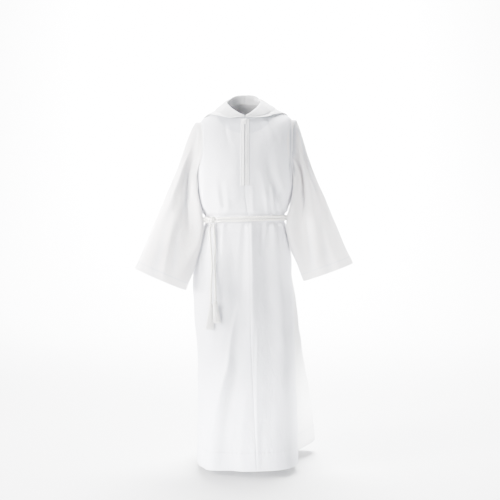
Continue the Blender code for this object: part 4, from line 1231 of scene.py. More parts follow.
def makePanel(name, look, angles, levels, fromSide):
    plain = plainPoint(angles, levels)
    calm = besideArmhole(fromSide, levels)
    detail = detailRise(angles, levels, plain) * calm + seamDip(seamDistance(plain))
    rise = foldRise(angles, levels) + detail
    points = plain + outwardAt(angles, levels) * rise[..., None]
    # painted shade in the creases, under the hood's front edge, at the bottoms of the deepest folds
    # and along the hem's stitching
    shade = np.maximum(valleyShade(detail), underHood(angles, levels))
    deep = creaseRise(plain[..., 0], plain[..., 2], deepFoldShades) * (plain[..., 1] < 0)
    shade = np.maximum(shade, deep + 0.5)
    shade = shade + hemShade(levels - hemLevel, hems["skirt"])
    return sewCloth(name, points, look, laid=plain, shade=shade, backed=backedShare(plain))


# how far the seam down the front leans to the wearer's left
leanHeights = (-1.30, -1.06, -0.69, -0.36, -0.262, -0.20)
seamLean = tableCurve(leanHeights, (0.042, 0.034, 0.018, 0.013, 0.0, 0.0))


def seamAngles(levels):
    x = seamLean(robe["armpitHeight"] + np.minimum(levels, 0))
    return found(lambda trial: plainPoint(trial, levels)[..., 0], x, -85.0, 85.0) * (levels < 0)


def makeFront(side, name):
    levels = panelLevels()
    shares = evenShares(66)[:, None]
    spread = sideAngle(levels, robe["armholeFront"])
    angles = side * shares * spread + (1 - shares) * seamAngles(levels)
    level = np.broadcast_to(levels, angles.shape)
    # the first line draws back from the zip
    opening = zipSizes["gapHalf"] * ramp(robe["armpitHeight"] + levels, *zipSizes["opens"])
    first, second = plainPoint(angles[:2], level[:2])
    span = np.linalg.norm(second - first, axis=-1)
    back = np.clip(opening / np.maximum(span, 1e-6), 0, 0.8) ** (1 / robe["squareness"])
    angles[0] = between(angles[0], angles[1], back)
    return makePanel(name, "body", angles[::side], level, (spread - np.abs(angles))[::side])


def makeBack():
    levels = panelLevels()
    half = evenShares(64)
    shares = np.concatenate([-half[::-1], half[1:]])[:, None]
    spread = sideAngle(levels, robe["armholeBack"])
    angles = shares * spread
    level = np.broadcast_to(levels, angles.shape)
    return makePanel("back", "back", 180 + angles, level, spread - np.abs(angles))


# sleeves; each pair of values is for the wearer's left and right

sleeve = {
    "cuffCentre": ((0.2510, -0.060, -0.5056), (-0.2560, -0.060, -0.5266)),
    "cuffOutward": ((0.0737, 0.0, 0.0270), (-0.0752, 0.0, 0.0330)),
    "cuffHalfDepth": 0.043,
    "length": 0.47,
    "hang": (0.02, -0.36, -1.0),
    "hangBehind": 0.30,
    "armpitClear": 0.0009,
    "clear": 0.0030,
    "leaves": 0.26,
    "leavesArmpit": 0.42,
    "arrives": 0.42,
    "endWay": (0.38, -0.10, -0.92),
    "cap": (0.0135, 0.0130),  # how far it stands out under the shoulder point
    "capSpread": 0.16,
    "capShares": (0.0, 0.036, 0.07, 0.42),  # of its length, where the cap starts and fades
    "capWay": (0.86, 0.0, 0.50),
    "lean": (0.022, 0.030),  # how far its inner side leans in above the belt
    "leanHeight": (-0.375, -0.385),
    "leanSpread": (0.085, 0.100),
    "leanBehind": (0.7, 0.60, 0.08),  # how much of that behind, at which turn, how widely
    "calm": (0.85, 0.655, 0.07),  # how calm the cloth lies against the body, likewise
    "evenTurns": 0.9,  # how evenly its lines are spread
    "softPasses": 16,  # how often its sharpest bends are rounded
    "offBelt": (0.0065, 0.0110),  # room for the belt's cords
    "strip": 0.0035,
    "turns": 104,
    "rows": 150,
}

# large folds of each sleeve: turn at the start and end, share of the length at both, spread, rise
sleeveFolds = (
    (
        (0.30, 0.33, -0.10, 0.40, 0.035, -0.011),
        (0.20, 0.30, 0.10, 1.05, 0.05, 0.007),
        (0.10, 0.18, 0.15, 0.80, 0.05, -0.005),
        (0.72, 0.76, 0.10, 0.90, 0.06, 0.007),
        (0.86, 0.90, 0.20, 1.05, 0.05, -0.006),
    ),
    (
        (0.16, 0.17, 0.05, 0.75, 0.05, 0.006),
        (0.24, 0.30, 0.20, 1.05, 0.05, -0.006),
        (0.35, 0.20, 0.30, 0.85, 0.05, 0.005),
        (0.72, 0.78, 0.10, 0.90, 0.06, 0.007),
        (0.86, 0.88, 0.20, 1.05, 0.05, -0.006),
    ),
)
# finer creases, in the same columns as the body's
sleeveFrontCreases = inMetres((
    # wearer's left: the long valley beside the armhole and the folds that leave it
    (153, -54, 150, -215, 2, 5.6, 6, -11, -8, 1.7),
    (144, -70, 142, -190, 1, 4.2, 4.6, 2.6, 2.4, 1.8),
    (164, -78, 172, -260, 3, 7, 9, 3.2, 2.6, 1.8),
    (180, -120, 208, -330, 4, 7, 11, -2.6, -3, 1.7),
    (190, -150, 224, -420, 4, 8, 14, 2.4, 3, 1.8),
    (166, -215, 200, -500, -4, 7, 13, -2.6, -3.2, 1.7),
    (154, -230, 186, -470, -3, 7, 10, 2.4, 2.6, 1.8),
    (215, -300, 260, -520, 3, 10, 18, -2, -3.4, 1.8),
    (236, -360, 290, -520, 2, 11, 17, 1.6, 3, 1.8),
    # wearer's right
    (-140, -66, -156, -130, 2, 6, 8, -3, -1.6, 1.6),
    (-133, -74, -146, -150, 2, 5, 7, 2.2, 1.4, 1.7),
    (-150, -66, -170, -130, 2, 7, 9, 1.8, 1.2, 1.8),
    (-190, -160, -193, -420, 3, 8, 13, 3.6, 3, 1.7),
    (-174, -150, -172, -360, 3, 7, 10, -3.4, -2.8, 1.7),
    (-178, -280, -212, -500, 4, 7, 13, -3, -3, 1.6),
    (-198, -300, -240, -520, 4, 9, 15, 2.6, 3, 1.8),
    (-224, -300, -276, -520, -3, 10, 17, -2.2, -3.2, 1.8),
    (-156, -200, -164, -400, 2, 6, 9, 2.4, 2, 1.8),
), 9)
sleeveBackCreases = inMetres((
    (150, -70, 156, -220, 2, 6, 8, -4.4, -3, 1.7),
    (162, -80, 176, -280, 3, 8, 10, 3, 2.6, 1.8),
    (186, -200, 220, -480, 4, 9, 15, -3, -3.6, 1.7),
    (202, -220, 250, -500, 3, 9, 16, 2.6, 3.4, 1.8),
    (-148, -80, -156, -220, 2, 6, 8, -4.4, -3, 1.7),
    (-162, -90, -178, -290, 3, 8, 10, 3, 2.6, 1.8),
    (-188, -210, -224, -500, 4, 9, 15, -3, -3.6, 1.7),
    (-206, -230, -256, -520, 3, 9, 16, 2.6, 3.4, 1.8),
), 9)


def armholePlace(side, turn, shrink=1.0):
    around = 2 * math.pi * turn
    spread = np.where(np.sin(around) > 0, robe["armholeFront"], robe["armholeBack"])
    angle = 90 - spread * np.sin(around) * shrink
    level = robe["armholeTop"] / 2 * (1 + np.cos(around) * shrink)
    return side * angle, np.maximum(level, 1e-6)


def cuffPoint(hand, turn):
    around = 2 * math.pi * turn[:, None]
    out = np.array(sleeve["cuffOutward"][hand]) * signedPower(np.cos(around), 0.9)
    ahead = np.array((0.0, -sleeve["cuffHalfDepth"], 0.0)) * signedPower(np.sin(around), 0.9)
    return np.array(sleeve["cuffCentre"][hand]) + out + ahead


def sleeveStart(side, turn, far):
    # points on the first strip, and the way the cloth leaves the armhole
    angle, level = armholePlace(side, turn)
    edge = plainPoint(angle, level)
    inner = plainPoint(*armholePlace(side, turn, 0.97))
    share = (((1 - np.cos(2 * math.pi * turn)) / 2) ** 3)[:, None]
    behind = np.maximum(0.0, -np.sin(2 * math.pi * turn))[:, None] * (1, 0, 0)
    hang = unit((np.array(sleeve["hang"]) + sleeve["hangBehind"] * behind) * (side, 1, 1))
    leave = unit(between(unit(inner - edge), hang, share))
    clear = sleeve["armpitClear"] * share * min(1.0, far / sleeve["strip"])
    return edge + outwardAt(angle, level) * clear + leave * far, leave, share


def besideBody(points):
    # moves points straight out of the body's section until they are clear of it
    x, y, height = points[..., 0], points[..., 1], points[..., 2]
    clear = sleeve["clear"] * ramp(robe["armpitHeight"] - height, -0.010, 0.020)
    clear = clear + np.where(x > 0, *sleeve["offBelt"]) * bell(height, robe["beltHeight"], 0.026, 4)
    width = np.where(x > 0, widthLeft(height), widthRight(height)) + clear
    depth = np.where(y < 0, depthFront(height), depthBack(height)) + clear
    power = 2 / robe["squareness"]
    share = (np.abs(x) / width) ** power + (np.abs(y) / depth) ** power
    inside = (height <= robe["armpitHeight"]) & (share < 1)
    grow = np.where(inside, share ** (-1 / power), 1.0)
    return np.stack([x * grow, y * grow, height], axis=-1)


def evenLines(grid, turns, shares):
    # spreads the lines evenly round the sleeve past its armhole and rounds its sharpest bends
    wanted = np.linspace(0, 1, sleeve["turns"] + 1)
    even = sleeve["evenTurns"] * ramp(shares, 0.0, 0.06)
    lines = np.empty((len(wanted), grid.shape[1], 3))
    turn = np.empty(lines.shape[:2])
    for row, blend in enumerate(even):
        far = runLengths(grid[:, row])
        far /= far[-1]
        place = between(np.interp(wanted, turns, far), wanted, blend)
        turn[:, row] = np.interp(place, far, turns)
        lines[:, row] = pointsAt(turn[:, row], turns, grid[:, row])
    soft = (even * (1 - ramp(shares, 0.80, 0.98)))[None, :, None]
    for _ in range(sleeve["softPasses"]):
        ring = lines[:-1]
        ring += 0.5 * soft * ((np.roll(ring, 1, axis=0) + np.roll(ring, -1, axis=0)) / 2 - ring)
        lines[-1] = lines[0]
    return lines, turn


def plainSleeve(side, hand):
    # lines round the sleeve without its folds, their turns and the shares of its length
    turns = np.linspace(0, 1, 4 * sleeve["turns"] + 1)
    start, leave, share = sleeveStart(side, turns, sleeve["strip"])
    leave = leave * between(sleeve["leaves"], sleeve["leavesArmpit"], share)
    arrive = unit(np.array(sleeve["endWay"]) * (side, 1, 1)) * sleeve["arrives"]
    end = cuffPoint(hand, turns)
    behind, atTurn, spread = sleeve["leanBehind"]
    inner = share + behind * bell(turns, atTurn, spread)[:, None]
    outer = bell((turns + 0.5) % 1 - 0.5, 0, sleeve["capSpread"])[:, None]
    alongs = np.linspace(0, 1, sleeve["rows"] + 1)[1:]
    rows = [sleeveStart(side, turns, far)[0] for far in (0.0, 0.0014, 0.0028)] + [start]
    for along in alongs:
        row = hermite(start, leave, end, arrive, along)
        cap = sleeve["cap"][hand] * window(along, *sleeve["capShares"])
        lean = bell(row[:, 2:], sleeve["leanHeight"][hand], sleeve["leanSpread"][hand])
        row = row + np.array(sleeve["capWay"]) * (side, 1, 1) * cap * outer
        row[:, :1] -= side * sleeve["lean"][hand] * inner * lean
        rows.append(besideBody(row))
    share = np.concatenate([[0, 0, 0, 0], alongs])
    lines, turn = evenLines(np.stack(rows, axis=1), turns, share)
    lines[-1] = lines[0]
    return lines, turn, share


def makeSleeve(side, hand, name):
    plain, turn, share = plainSleeve(side, hand)
    rise = np.zeros(plain.shape[:2])
    for startTurn, endTurn, first, last, spread, height in sleeveFolds[hand]:
        part = (share - first) / (last - first)
        shown = window(part, 0.0, 0.3, 0.7, 1.0)
        away = (turn - between(startTurn, endTurn, part) + 0.5) % 1 - 0.5
        rise += height * shown * bell(away, 0, spread)
    rise *= ramp(share, 0.02, 0.12)
    out = gridNormals(plain, True) * side
    x, z, ahead = plain[..., 0], plain[..., 2], -out[..., 1]
    detail = creaseRise(x, z, sleeveFrontCreases) * ramp(ahead, 0.10, 0.45)
    detail += creaseRise(x, z, sleeveBackCreases) * ramp(-ahead, 0.10, 0.45)
    detail += softWaves(plain, 0.0009)
    rise += detail * ramp(share, 0.010, 0.060)
    calm, atTurn, spread = sleeve["calm"]
    rise *= 1 - calm * bell(turn, atTurn, spread) * (1 - ramp(share, 0.40, 0.60))
    fromCuff = (1 - share) * sleeve["length"]
    rise += hemRise(turn * 360, fromCuff, hems["cuff"])
    seam = np.linalg.norm(plain - plain[:, :1], axis=-1)
    rise += seamDip(seam)
    # beside the seam it moves with the edge of the body's cloth
    angle, level = armholePlace(side, turn[:, 0])
    edge = outwardAt(angle, level) * (foldRise(angle, level) + seamDip(0.0))[:, None]
    near = (1 - ramp(seam, 0.0, 0.006))[..., None]
    points = plain + between(out * rise[..., None], edge[:, None, :], near)
    points[-1] = points[0]
    # painted shade in the creases and the seam, at the bottoms of the deepest folds and along the
    # cuff's stitching
    deep = creaseRise(x, z, deepFoldShades) * (ahead > 0)
    shade = np.maximum(valleyShade(detail + seamDip(seam)), deep + 0.5)
    shade = (shade + hemShade(fromCuff, hems["cuff"]))[::side]
    points = points[::side]
    return sewCloth(name, points, "sleeve", closed=True, shade=shade), points


# hood: each half runs from the neck seam over its roll, down the outside and back up inside

hood = {
    # angle, stand, reach, mouth, pouch
    "table": (
        (0, 0.0008, 0.006, 0.006, 0.0),
        (10, 0.0030, 0.009, 0.009, 0.0),
        (25, 0.0060, 0.017, 0.017, 0.0),
        (50, 0.0092, 0.033, 0.033, 0.0),
        (75, 0.0110, 0.050, 0.050, 0.0),
        (90, 0.0125, 0.060, 0.060, 0.0),
        (105, 0.015, 0.072, 0.069, 0.12),
        (120, 0.018, 0.094, 0.072, 0.42),
        (135, 0.022, 0.135, 0.071, 0.80),
        (150, 0.025, 0.171, 0.067, 1.0),
        (165, 0.026, 0.198, 0.061, 1.0),
        (180, 0.026, 0.210, 0.058, 1.0),
    ),
    "lie": 0.0024,
    "lieBack": 0.0045,
    "edgeLift": 0.0030,  # how far its front edges stand off the body
    # angle, how far the fold leans in on the wearer's left and right
    "lean": (
        (0, 0.0000, 0.0000),
        (10, 0.0035, 0.0012),
        (20, 0.0080, 0.0040),
        (30, 0.0120, 0.0070),
        (45, 0.0160, 0.0090),
        (60, 0.0185, 0.0100),
        (90, 0.0200, 0.0115),
        (120, 0.0140, 0.0090),
        (150, 0.0040, 0.0040),
        (180, 0.0000, 0.0000),
    ),
    # up as a share of the stand, metres outward and share of the lean, of the roll's lines
    "roll": ((0, 0, 0), (0.7, -0.0008, 0.65), (1.15, 0.0010, 1), (1.05, 0.0060, 0.85)),
    "rollTop": 0.018,
    "pouch": 0.030,
    # metres past the reach and share of the depth, of the lines round the pouch's lower edge
    "pouchEdge": ((0.004, 0), (0.010, 0.40), (0.004, 0.85)),
    "gap": 0.0020,  # between its halves, over the zip
    "lines": 112,
    "rollRows": 16,
    "rows": 92,
    "hem": 0.020,
    "behind": (96, 125),  # angles between which the folds behind begin
    "shown": (0.05, 0.22, 0.86, 1.0),  # shares of its length where they start and fade
    "sagArch": (0.045, 2.2),  # how far and how fast the sags rise to the sides
    "waves": 0.0010,
    "shade": 1.9,  # under its front edge, how widely, and at which angles it starts and ends
    "shadeSpread": 0.0024,
    "shadeAngles": (7, 16, 48, 68),
    "stitchLength": 0.011,
    "stitchRise": 0.00025,
}
hoodCurves = tableCurves(hood["table"])
hoodLeans = tableCurves(hood["lean"])
# finer creases, in the same columns as the body's
hoodCreases = inMetres((
    (56, 4, 92, -40, 2, 4.4, 7, 2.2, 1.8, 1.7),
    (48, -2, 80, -44, 2, 6, 9, -1.2, -1, 1.8),
    (-56, 0, -84, -40, -2, 5, 8, 1.2, 1.2, 1.8),
    (-38, -12, -54, -44, -1, 4, 6, -0.8, -1, 1.7),
), 9)
# angle at the neck and low down, rise and spread in degrees of the folds behind
hoodSwags = (
    (112, 126, 0.0030, 7),
    (128, 143, -0.0026, 6),
    (146, 158, 0.0034, 7),
    (163, 168, -0.0022, 5),
    (172, 176, 0.0020, 5),
)
# share of the way to the hood's mouth, rise and spread of the sags across its pouch
hoodSags = ((0.70, 0.0026, 0.030), (0.80, -0.0020, 0.028), (0.89, 0.0020, 0.026))


def yokeLength(angle):
    return yokeLengths(yokeParts(angle))[-1]


hoodSpan = np.linspace(0, 180, 61), yokeLength(np.linspace(0, 180, 61))


def belowNeck(angle, reach, off):
    level = 1 - reach / yokeLength(angle)
    return plainPoint(angle, level) + outwardAt(angle, level) * off[:, None]


def hoodLines(angle):
    size = np.abs(angle)
    stand, reach, mouth, pouch = (curve(size) for curve in hoodCurves)
    seam = neckPoint(angle)
    out = unit(seam * (1, 1, 0))
    lean = -np.sign(angle) * np.where(angle > 0, *(curve(size) for curve in hoodLeans))
    lines = []
    for high, ahead, leaning in hood["roll"]:
        line = seam + out * ahead
        line[:, 0] += lean * leaning
        line[:, 2] += stand * high
        lines.append(line)
    lie = hood["lie"] + hood["lieBack"] * ramp(size, 75, 112)
    lift = hood["edgeLift"] * window(size, 4, 14, 80, 110)
    first = np.minimum(hood["rollTop"], reach * 0.6)
    for part in (0, 0.15, 0.3, 0.45, 0.6, 0.75, 0.9):
        off = lie + stand * 0.3 * (1 - ramp(part, 0, 0.3)) + lift * ramp(part, 0.3, 0.9)
        lines.append(belowNeck(angle, between(first, reach, part), off))
    lie, depth = lie + lift, hood["pouch"] * pouch
    for past, share in hood["pouchEdge"]:
        lines.append(belowNeck(angle, reach + past * pouch, lie + depth * share))
    for part in (0.2, 0.4, 0.6, 0.8, 1.0):
        lines.append(belowNeck(angle, between(reach, mouth, part * pouch), lie + depth))
    made = []
    for curve, standing in zip(roundedCurve(np.stack(lines, axis=1), 4), stand):
        roll = np.linspace(0, min(2.1 * standing / lineLength(curve), 0.6), hood["rollRows"])
        rest = np.linspace(roll[-1], 1, hood["rows"])[1:]
        made.append(alongCurve(curve, np.concatenate([roll, rest])))
    return np.array(made)


def makeHood(side, name):
    fine = np.linspace(0, 180, hood["lines"])
    angle = np.concatenate([fine[:-1], [179.4, 180.0]]) * side
    points = hoodLines(angle)
    points[0] += unit(points[1] - points[0]) * hood["gap"]
    normals = gridNormals(points) * -side
    size = np.abs(angle)[:, None]
    lengths = runLengths(points, 1)
    total = lengths[:, -1:]
    share = lengths / total
    behind = ramp(size, *hood["behind"])
    rise = creaseRise(points[..., 0], points[..., 2], hoodCreases)
    rise = rise * ramp(hood["behind"][0] - size, 0, 12) * ramp(share, 0.25, 0.5)
    shown = window(share, *hood["shown"]) * (1 - 0.55 * ramp(share, 0.5, 0.62))
    for topAngle, lowAngle, height, spread in hoodSwags:
        centre = between(topAngle, lowAngle, np.clip(share / 0.55, 0, 1))
        rise = rise + height * shown * behind * bell(size, centre, spread)
    inside = np.where(share > 0.56, 1.0, -1.0)
    arch, fast = hood["sagArch"]
    for at, height, width in hoodSags:
        sag = at + arch * np.cos(np.radians((size - 180) * fast))
        rise = rise + height * behind * bell(share, sag, width) * inside
    rise += softWaves(points, hood["waves"]) * ramp(lengths, 0.0, 0.02)
    stitch = bell(total - lengths, hood["hem"], 0.004) * ramp(size, 20, 60)
    around = np.radians(size) * 0.14
    rise += hood["stitchRise"] * stitch * np.sin(around * 2 * math.pi / hood["stitchLength"])
    seam = np.linalg.norm(points - points[-1:], axis=-1)
    rise += seamDip(seam) * np.where(share > 0.5, -1, 1)
    points = points + normals * (rise * ramp(lengths, 0.0, 0.006))[..., None]
    points[-1, :, 0] = 0
    # painted shade in the valleys of its creases
    shade = valleyShade(rise * 0.7)[::-side]
    return sewCloth(name, points[::-side], "hood", offset=0.0, shade=shade)


panels = {name: makeFront(side, name) for side, name in ((1, "front_left"), (-1, "front_right"))}
panels["back"] = makeBack()
print("body panels shaped")
sleeveGrids = {}
for hand, (side, name) in enumerate(((1, "sleeve_left"), (-1, "sleeve_right"))):
    panels[name], sleeveGrids[name] = makeSleeve(side, hand, name)
for side, name in ((1, "hood_left"), (-1, "hood_right")):
    panels[name] = makeHood(side, name)
print("sleeves and hood shaped")


# zip: its welts, teeth and tape

def makeWelt(side, name):
    heights = np.linspace(zipSizes["bottom"] - 0.004, zipSizes["top"] - 0.0065, 110)
    across = np.linspace(0, 1, 15)[:, None]
    crown = (1 - np.abs(2 * across - 1) ** 6) ** 0.5
    lip, groove = 0.50 * bell(across, 0.16, 0.14), 0.40 * bell(across, zipSizes["weltSeam"], 0.07)
    off = zipSizes["lift"] * (0.25 + 0.75 * crown + lip - groove * crown)
    close = ramp(zipSizes["sliderHeight"] - 0.005 - heights, 0, 0.018)
    gap = between(zipSizes["gapHalf"], zipSizes["gapBelow"], close)
    x = side * between(gap, zipSizes["gapHalf"] + zipSizes["weltWidth"], across)
    ripple = np.sin(heights * 2 * math.pi / zipSizes["rippleLength"])
    ripple = ripple * bell(across, zipSizes["weltSeam"], 0.2)
    points = robePoint(*frontPlace(x, heights), off + zipSizes["ripple"] * ripple)[::side]
    # painted shade in its groove and along its edges
    shade = valleyShade((off - zipSizes["lift"] * 0.8) * 2)
    shade = np.broadcast_to(shade, x.shape)[::side]
    thickness = zipSizes["weltThickness"]
    return sewCloth(name, points, "welt", thickness=thickness, shade=shade), points


def makeTeeth():
    deselectAll()
    bpy.ops.mesh.primitive_cube_add(size=1, location=(0, 0, 0))
    tooth = bpy.context.object
    tooth.data.transform(Matrix.Diagonal((*zipSizes["toothSize"], 1)))
    applyModifier(tooth, "round", "BEVEL", width=0.00018, segments=1)
    low, high = zipSizes["bottom"] + 0.001, zipSizes["sliderHeight"] - 0.003
    heights = np.arange(low, high, zipSizes["toothPitch"])
    points = robePoint(*frontPlace(0, heights), -0.0006)
    across = np.array((1.0, 0.0, 0.0))
    places = []
    for index, (point, upward) in enumerate(zip(points, unit(np.gradient(points, axis=0)))):
        side = 1 if index % 2 else -1
        upward = unit(upward * (0, 1, 1))
        spot = point + across * side * zipSizes["toothOff"]
        places.append(frameMatrix(spot, across, upward, np.cross(across, upward)))
    piece = copiesOf(tooth, places, "zipTeeth")
    smoothShade(piece, 35)
    return finishPiece(piece, "teeth", "zip_coil")


welts, weltGrids = {}, {}
for side, name in ((1, "zip_welt_left"), (-1, "zip_welt_right")):
    welts[name], weltGrids[name] = makeWelt(side, name)
zipTeeth = makeTeeth()
nodeLooks = {
    "zip_tape": "tape",
    "zip_slider": "lacquer",
    "zip_pull_tab": "lacquer",
    "neck_facing_left": "facing",
    "neck_facing_right": "facing",
}
for name, look in nodeLooks.items():
    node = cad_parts[name]
    node.data.materials.clear()
    node.data.materials.append(looks[look])
print("zip made")


# cords, knot and tassels

def ropeFrames(points):
    tangents = unit(np.gradient(points, axis=0))
    side = unit(np.cross(tangents[0], (0.3, 1.0, 0.2)))
    sides = []
    for tangent in tangents:
        side = unit(side - tangent * np.dot(side, tangent))
        sides.append(side)
    return np.array(sides), np.cross(tangents, sides)


def ropeMesh(name, route, diameter, twist, ring, around, phase=0.0, strands=3):
    # a laid cord: strands lie round each other in a screw
    points = evenPoints(route, ring)
    first, second = ropeFrames(points)
    length = runLengths(points)
    theta = np.linspace(0, 2 * math.pi, around + 1)[:, None]
    step = 2 * math.pi / strands
    lobe = (theta - phase - 2 * math.pi * length / twist + step / 2) % step - step / 2
    radius = diameter / 2 * (0.40 * np.cos(lobe) + np.sqrt(0.36 - 0.16 * np.sin(lobe) ** 2))
    radius[:, [0, 1, -2, -1]] *= (0.0, 0.75, 0.75, 0.0)
    outward = np.cos(theta)[..., None] * first + np.sin(theta)[..., None] * second
    uv = np.stack(np.broadcast_arrays(theta * diameter / 2, length), axis=-1)
    piece = gridPiece(name, points + radius[..., None] * outward, uv)
    mergeClose(piece, 0.000004)
    smoothShade(piece)
    return piece


def beltRope(name, route, phase=0.0):
    sizes = (cincture[key] for key in ("diameter", "twist", "ring", "around"))
    return ropeMesh(name, route, *sizes, phase)


def makeCord(name, phase):
    cord = beltRope("laid_" + name, routes[name], phase)
    return finishPiece(cord, "rope", name)


def makeKnot():
    centre, along, out, up = knotFrame()
    middle = cincture["knotRadius"] + cincture["knotBulge"] - cincture["diameter"] / 2
    reach = cincture["knotLength"] / 2 - cincture["diameter"] / 2 - 0.0004
    share = np.linspace(0, 1, 260)[:, None]
    turn = 2 * math.pi * cincture["knotWraps"] * share + cincture["knotStart"]
    radius = middle * (1 + cincture["knotWobble"] * np.sin(turn * cincture["knotUneven"]))
    ring = np.cos(turn) * out + np.sin(turn) * up
    wound = beltRope("knotWraps", centre + along * (reach * (2 * share - 1)) + ring * radius)
    core = centre + along * np.linspace(-reach - 0.002, reach + 0.002, 30)[:, None]
    width = cincture["diameter"] * cincture["knotCore"]
    inside = ropeMesh("knotCore", core, width, cincture["twist"], 0.002, 18)
    knot = joinPieces([wound, inside], "cincture_wraps")
    return finishPiece(knot, "rope", "cincture_knot")


tasselSizes = {
    "head": 0.0130,
    "headRadius": 0.0066,
    "headTaper": 0.72,
    "headCore": 0.78,
    "winding": 0.0017,
    "windingStep": 0.92,  # from one turn to the next, in widths of its thread
    "strands": 118,  # in each tassel
    "strandRadius": 0.00062,
    "strandTop": 0.004,  # how far the strands reach up into the head
    "rootShare": 0.86,  # of the head's radius, where they leave it
    "swell": 0.0010,
    "waveAcross": (0.0011, 4.5),  # height and speed of the slow waves in each strand
    "waveAhead": (0.0009, 5.0),
    "ragged": (0.10, 0.8, 1.8),  # how much shorter most end, share of those, how much more others
    "uneven": (0.25, 9),  # how unevenly thick a strand is, and how fast that changes along it
    "thinEnd": 0.35,
    "strandSpin": 5,
    "seed": 9,
    # length of the strands, spread across and ahead, drift across
    "tassel_front": (0.067, 0.0060, 0.0022, -0.003),
    "tassel_back": (0.056, 0.0045, 0.0016, 0.006),
}


def strandModel():
    # a thin bar from 0 to 1 with rings of vertices along it
    deselectAll()
    bpy.ops.mesh.primitive_cylinder_add(vertices=4, radius=1, depth=1, location=(0, 0, 0.5))
    strand = bpy.context.object
    bpy.ops.object.transform_apply(location=True, rotation=True, scale=True)
    bpy.ops.object.mode_set(mode="EDIT")
    bpy.ops.mesh.select_all(action="DESELECT")
    bpy.ops.object.mode_set(mode="OBJECT")
    for edge in strand.data.edges:
        a, b = (strand.data.vertices[k].co for k in edge.vertices)
        edge.select = abs(a.z - b.z) > 0.5
    bpy.ops.object.mode_set(mode="EDIT")
    bpy.ops.mesh.select_mode(type="EDGE")
    bpy.ops.mesh.subdivide(number_cuts=9)
    bpy.ops.object.mode_set(mode="OBJECT")
    return strand


def makeStrands(name, base):
    length, spreadX, spreadY, drift = tasselSizes[name]
    wave, speed = tasselSizes["waveAcross"]
    waveAhead, speedAhead = tasselSizes["waveAhead"]
    ragged, most, more = tasselSizes["ragged"]
    uneven, change = tasselSizes["uneven"]
    chance = np.random.RandomState(tasselSizes["seed"] + len(name))
    model = strandModel()
    barX, barY, t = pointsOf(model.data).T
    swell = np.sin(np.clip(t * 3.2, 0, math.pi / 2)) * tasselSizes["swell"]
    rootSize = tasselSizes["headRadius"] * tasselSizes["rootShare"] + swell
    made = []
    for index in range(tasselSizes["strands"]):
        far = math.sqrt((index + 0.5) / tasselSizes["strands"])
        turn = index * 2.39996  # the golden angle
        x = math.cos(turn) * far * (rootSize + spreadX * t**1.4) + drift * t**1.5
        x = x + wave * np.sin(speed * t + chance.uniform(0, 6.28)) * t
        y = math.sin(turn) * far * (rootSize + spreadY * t**1.4)
        y = y + waveAhead * np.sin(speedAhead * t + chance.uniform(0, 6.28)) * t
        end = length * (1 - ragged * chance.rand() * (1 if chance.rand() < most else more))
        thick = 1.0 + uneven * np.sin(t * change + chance.uniform(0, 6.28))
        thick = tasselSizes["strandRadius"] * thick * (1 - tasselSizes["thinEnd"] * t**4)
        spin = chance.uniform(0, 1.57) + tasselSizes["strandSpin"] * t
        x = x + (barX * np.cos(spin) - barY * np.sin(spin)) * thick
        y = y + (barX * np.sin(spin) + barY * np.cos(spin)) * thick
        z = tasselSizes["strandTop"] - t * (end + tasselSizes["strandTop"])
        strand = copyOf(model)
        strand.data.vertices.foreach_set("co", (base + np.stack([x, y, z], axis=-1)).ravel())
        strand.data.flip_normals()
        made.append(strand)
    bpy.data.objects.remove(model)
    strands = joinPieces(made, name + "_strands")
    smoothShade(strands)
    return finishPiece(strands, "tassel")


def makeHead(name, top):
    tall, thread = tasselSizes["head"], tasselSizes["winding"]
    share = np.linspace(0, 1, 500)
    angle = 2 * math.pi * (tall - 0.001) / (thread * tasselSizes["windingStep"]) * share
    barrel = between(tasselSizes["headTaper"], 1, np.sin(share * math.pi * 0.62) ** 1.2)
    radius = tasselSizes["headRadius"] * barrel - thread / 2
    down = -0.0008 - share * (tall - 0.0012)
    helix = top + np.stack([np.cos(angle) * radius, np.sin(angle) * radius, down], axis=-1)
    wound = ropeMesh("headWinding", helix, thread, 0.006, 0.0009, 8, strands=2)
    core = top - np.linspace(0.0006, tall - 0.0006, 12)[:, None] * (0, 0, 1)
    width = tasselSizes["headRadius"] * 2 * tasselSizes["headCore"]
    filled = ropeMesh("headCore", core, width, 0.05, 0.0012, 16)
    return finishPiece(joinPieces([wound, filled], name + "_head"), "rope")


def makeTassel(name, cordName):
    top = evenPoints(routes[cordName], 0.002)[-1] - (0, 0, cincture["layerGap"])
    pieces = [makeStrands(name, top - (0, 0, tasselSizes["head"])), makeHead(name, top)]
    for piece in pieces:
        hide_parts(name)
    return pieces


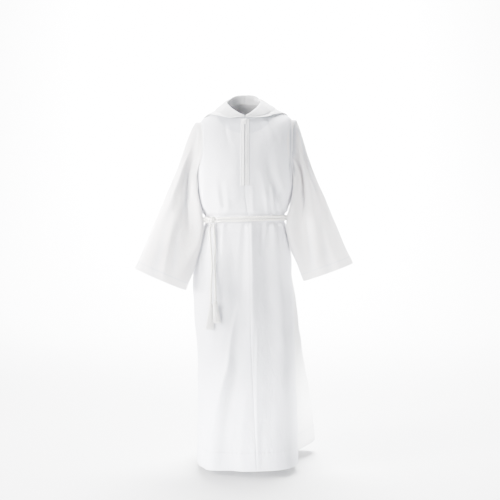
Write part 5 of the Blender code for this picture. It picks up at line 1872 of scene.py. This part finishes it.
makeCord("belt_cord_upper", 0.0)
makeCord("belt_cord_lower", 1.1)
makeKnot()
for cordName, tasselName, phase in (
        ("cord_end_front", "tassel_front", 0.4), ("cord_end_back", "tassel_back", 1.6)):
    tassel = makeTassel(tasselName, cordName)
    hanging = makeCord(cordName, phase)
    route = routes[cordName]
    path = [tuple(float(v) for v in point) for point in evenPoints(route, 0.004)]
print("cincture made")


# stitching

stitchSizes = {
    "length": 0.0026,
    "pitch": 0.0036,
    "thick": 0.00038,
    "lift": 0.00012,
}


def stitchModel():
    deselectAll()
    bpy.ops.mesh.primitive_uv_sphere_add(
        segments=6, ring_count=4, radius=0.5, location=(0, 0, 0))
    stitch = bpy.context.object
    size = stitchSizes["thick"]
    stitch.data.transform(Matrix.Rotation(math.pi / 2, 4, "Y"))
    stitch.data.transform(Matrix.Diagonal((stitchSizes["length"], size, size * 0.8, 1)))
    return stitch


def stitchPlaces(points, out):
    # evenly spaced places along a row of points, each turned along the row
    length = runLengths(points)
    count = max(int(length[-1] / stitchSizes["pitch"]), 2)
    at = (np.arange(count) + 0.5) / count * length[-1]
    spots, faces = pointsAt(at, length, points), unit(pointsAt(at, length, out))
    places = []
    for spot, face, way in zip(spots, faces, unit(np.gradient(spots, axis=0))):
        side = unit(np.cross(face, way))
        spot = spot + face * stitchSizes["lift"]
        places.append(frameMatrix(spot, way, side, np.cross(way, side)))
    return places


def makeStitches():
    around = np.linspace(0.5, 359.5, 700), np.full(700, hemLevel + hems["skirt"]["width"])
    places = stitchPlaces(robePoint(*around), outwardAt(*around))
    for grid in sleeveGrids.values():
        fromCuff = hems["cuff"]["width"] / sleeve["length"] * sleeve["rows"]
        row = round(len(grid[0]) - 1 - fromCuff)
        places += stitchPlaces(grid[:, row], gridNormals(grid, True)[:, row])
    for name, grid in weltGrids.items():
        line = round(zipSizes["weltSeam"] * (len(grid) - 1))
        line = line if name == "zip_welt_left" else len(grid) - 1 - line
        places += stitchPlaces(grid[line], gridNormals(grid)[line])
    piece = copiesOf(stitchModel(), places, "hemStitches")
    smoothShade(piece)
    return finishPiece(piece, "thread")


stitches = makeStitches()
print("stitching added")
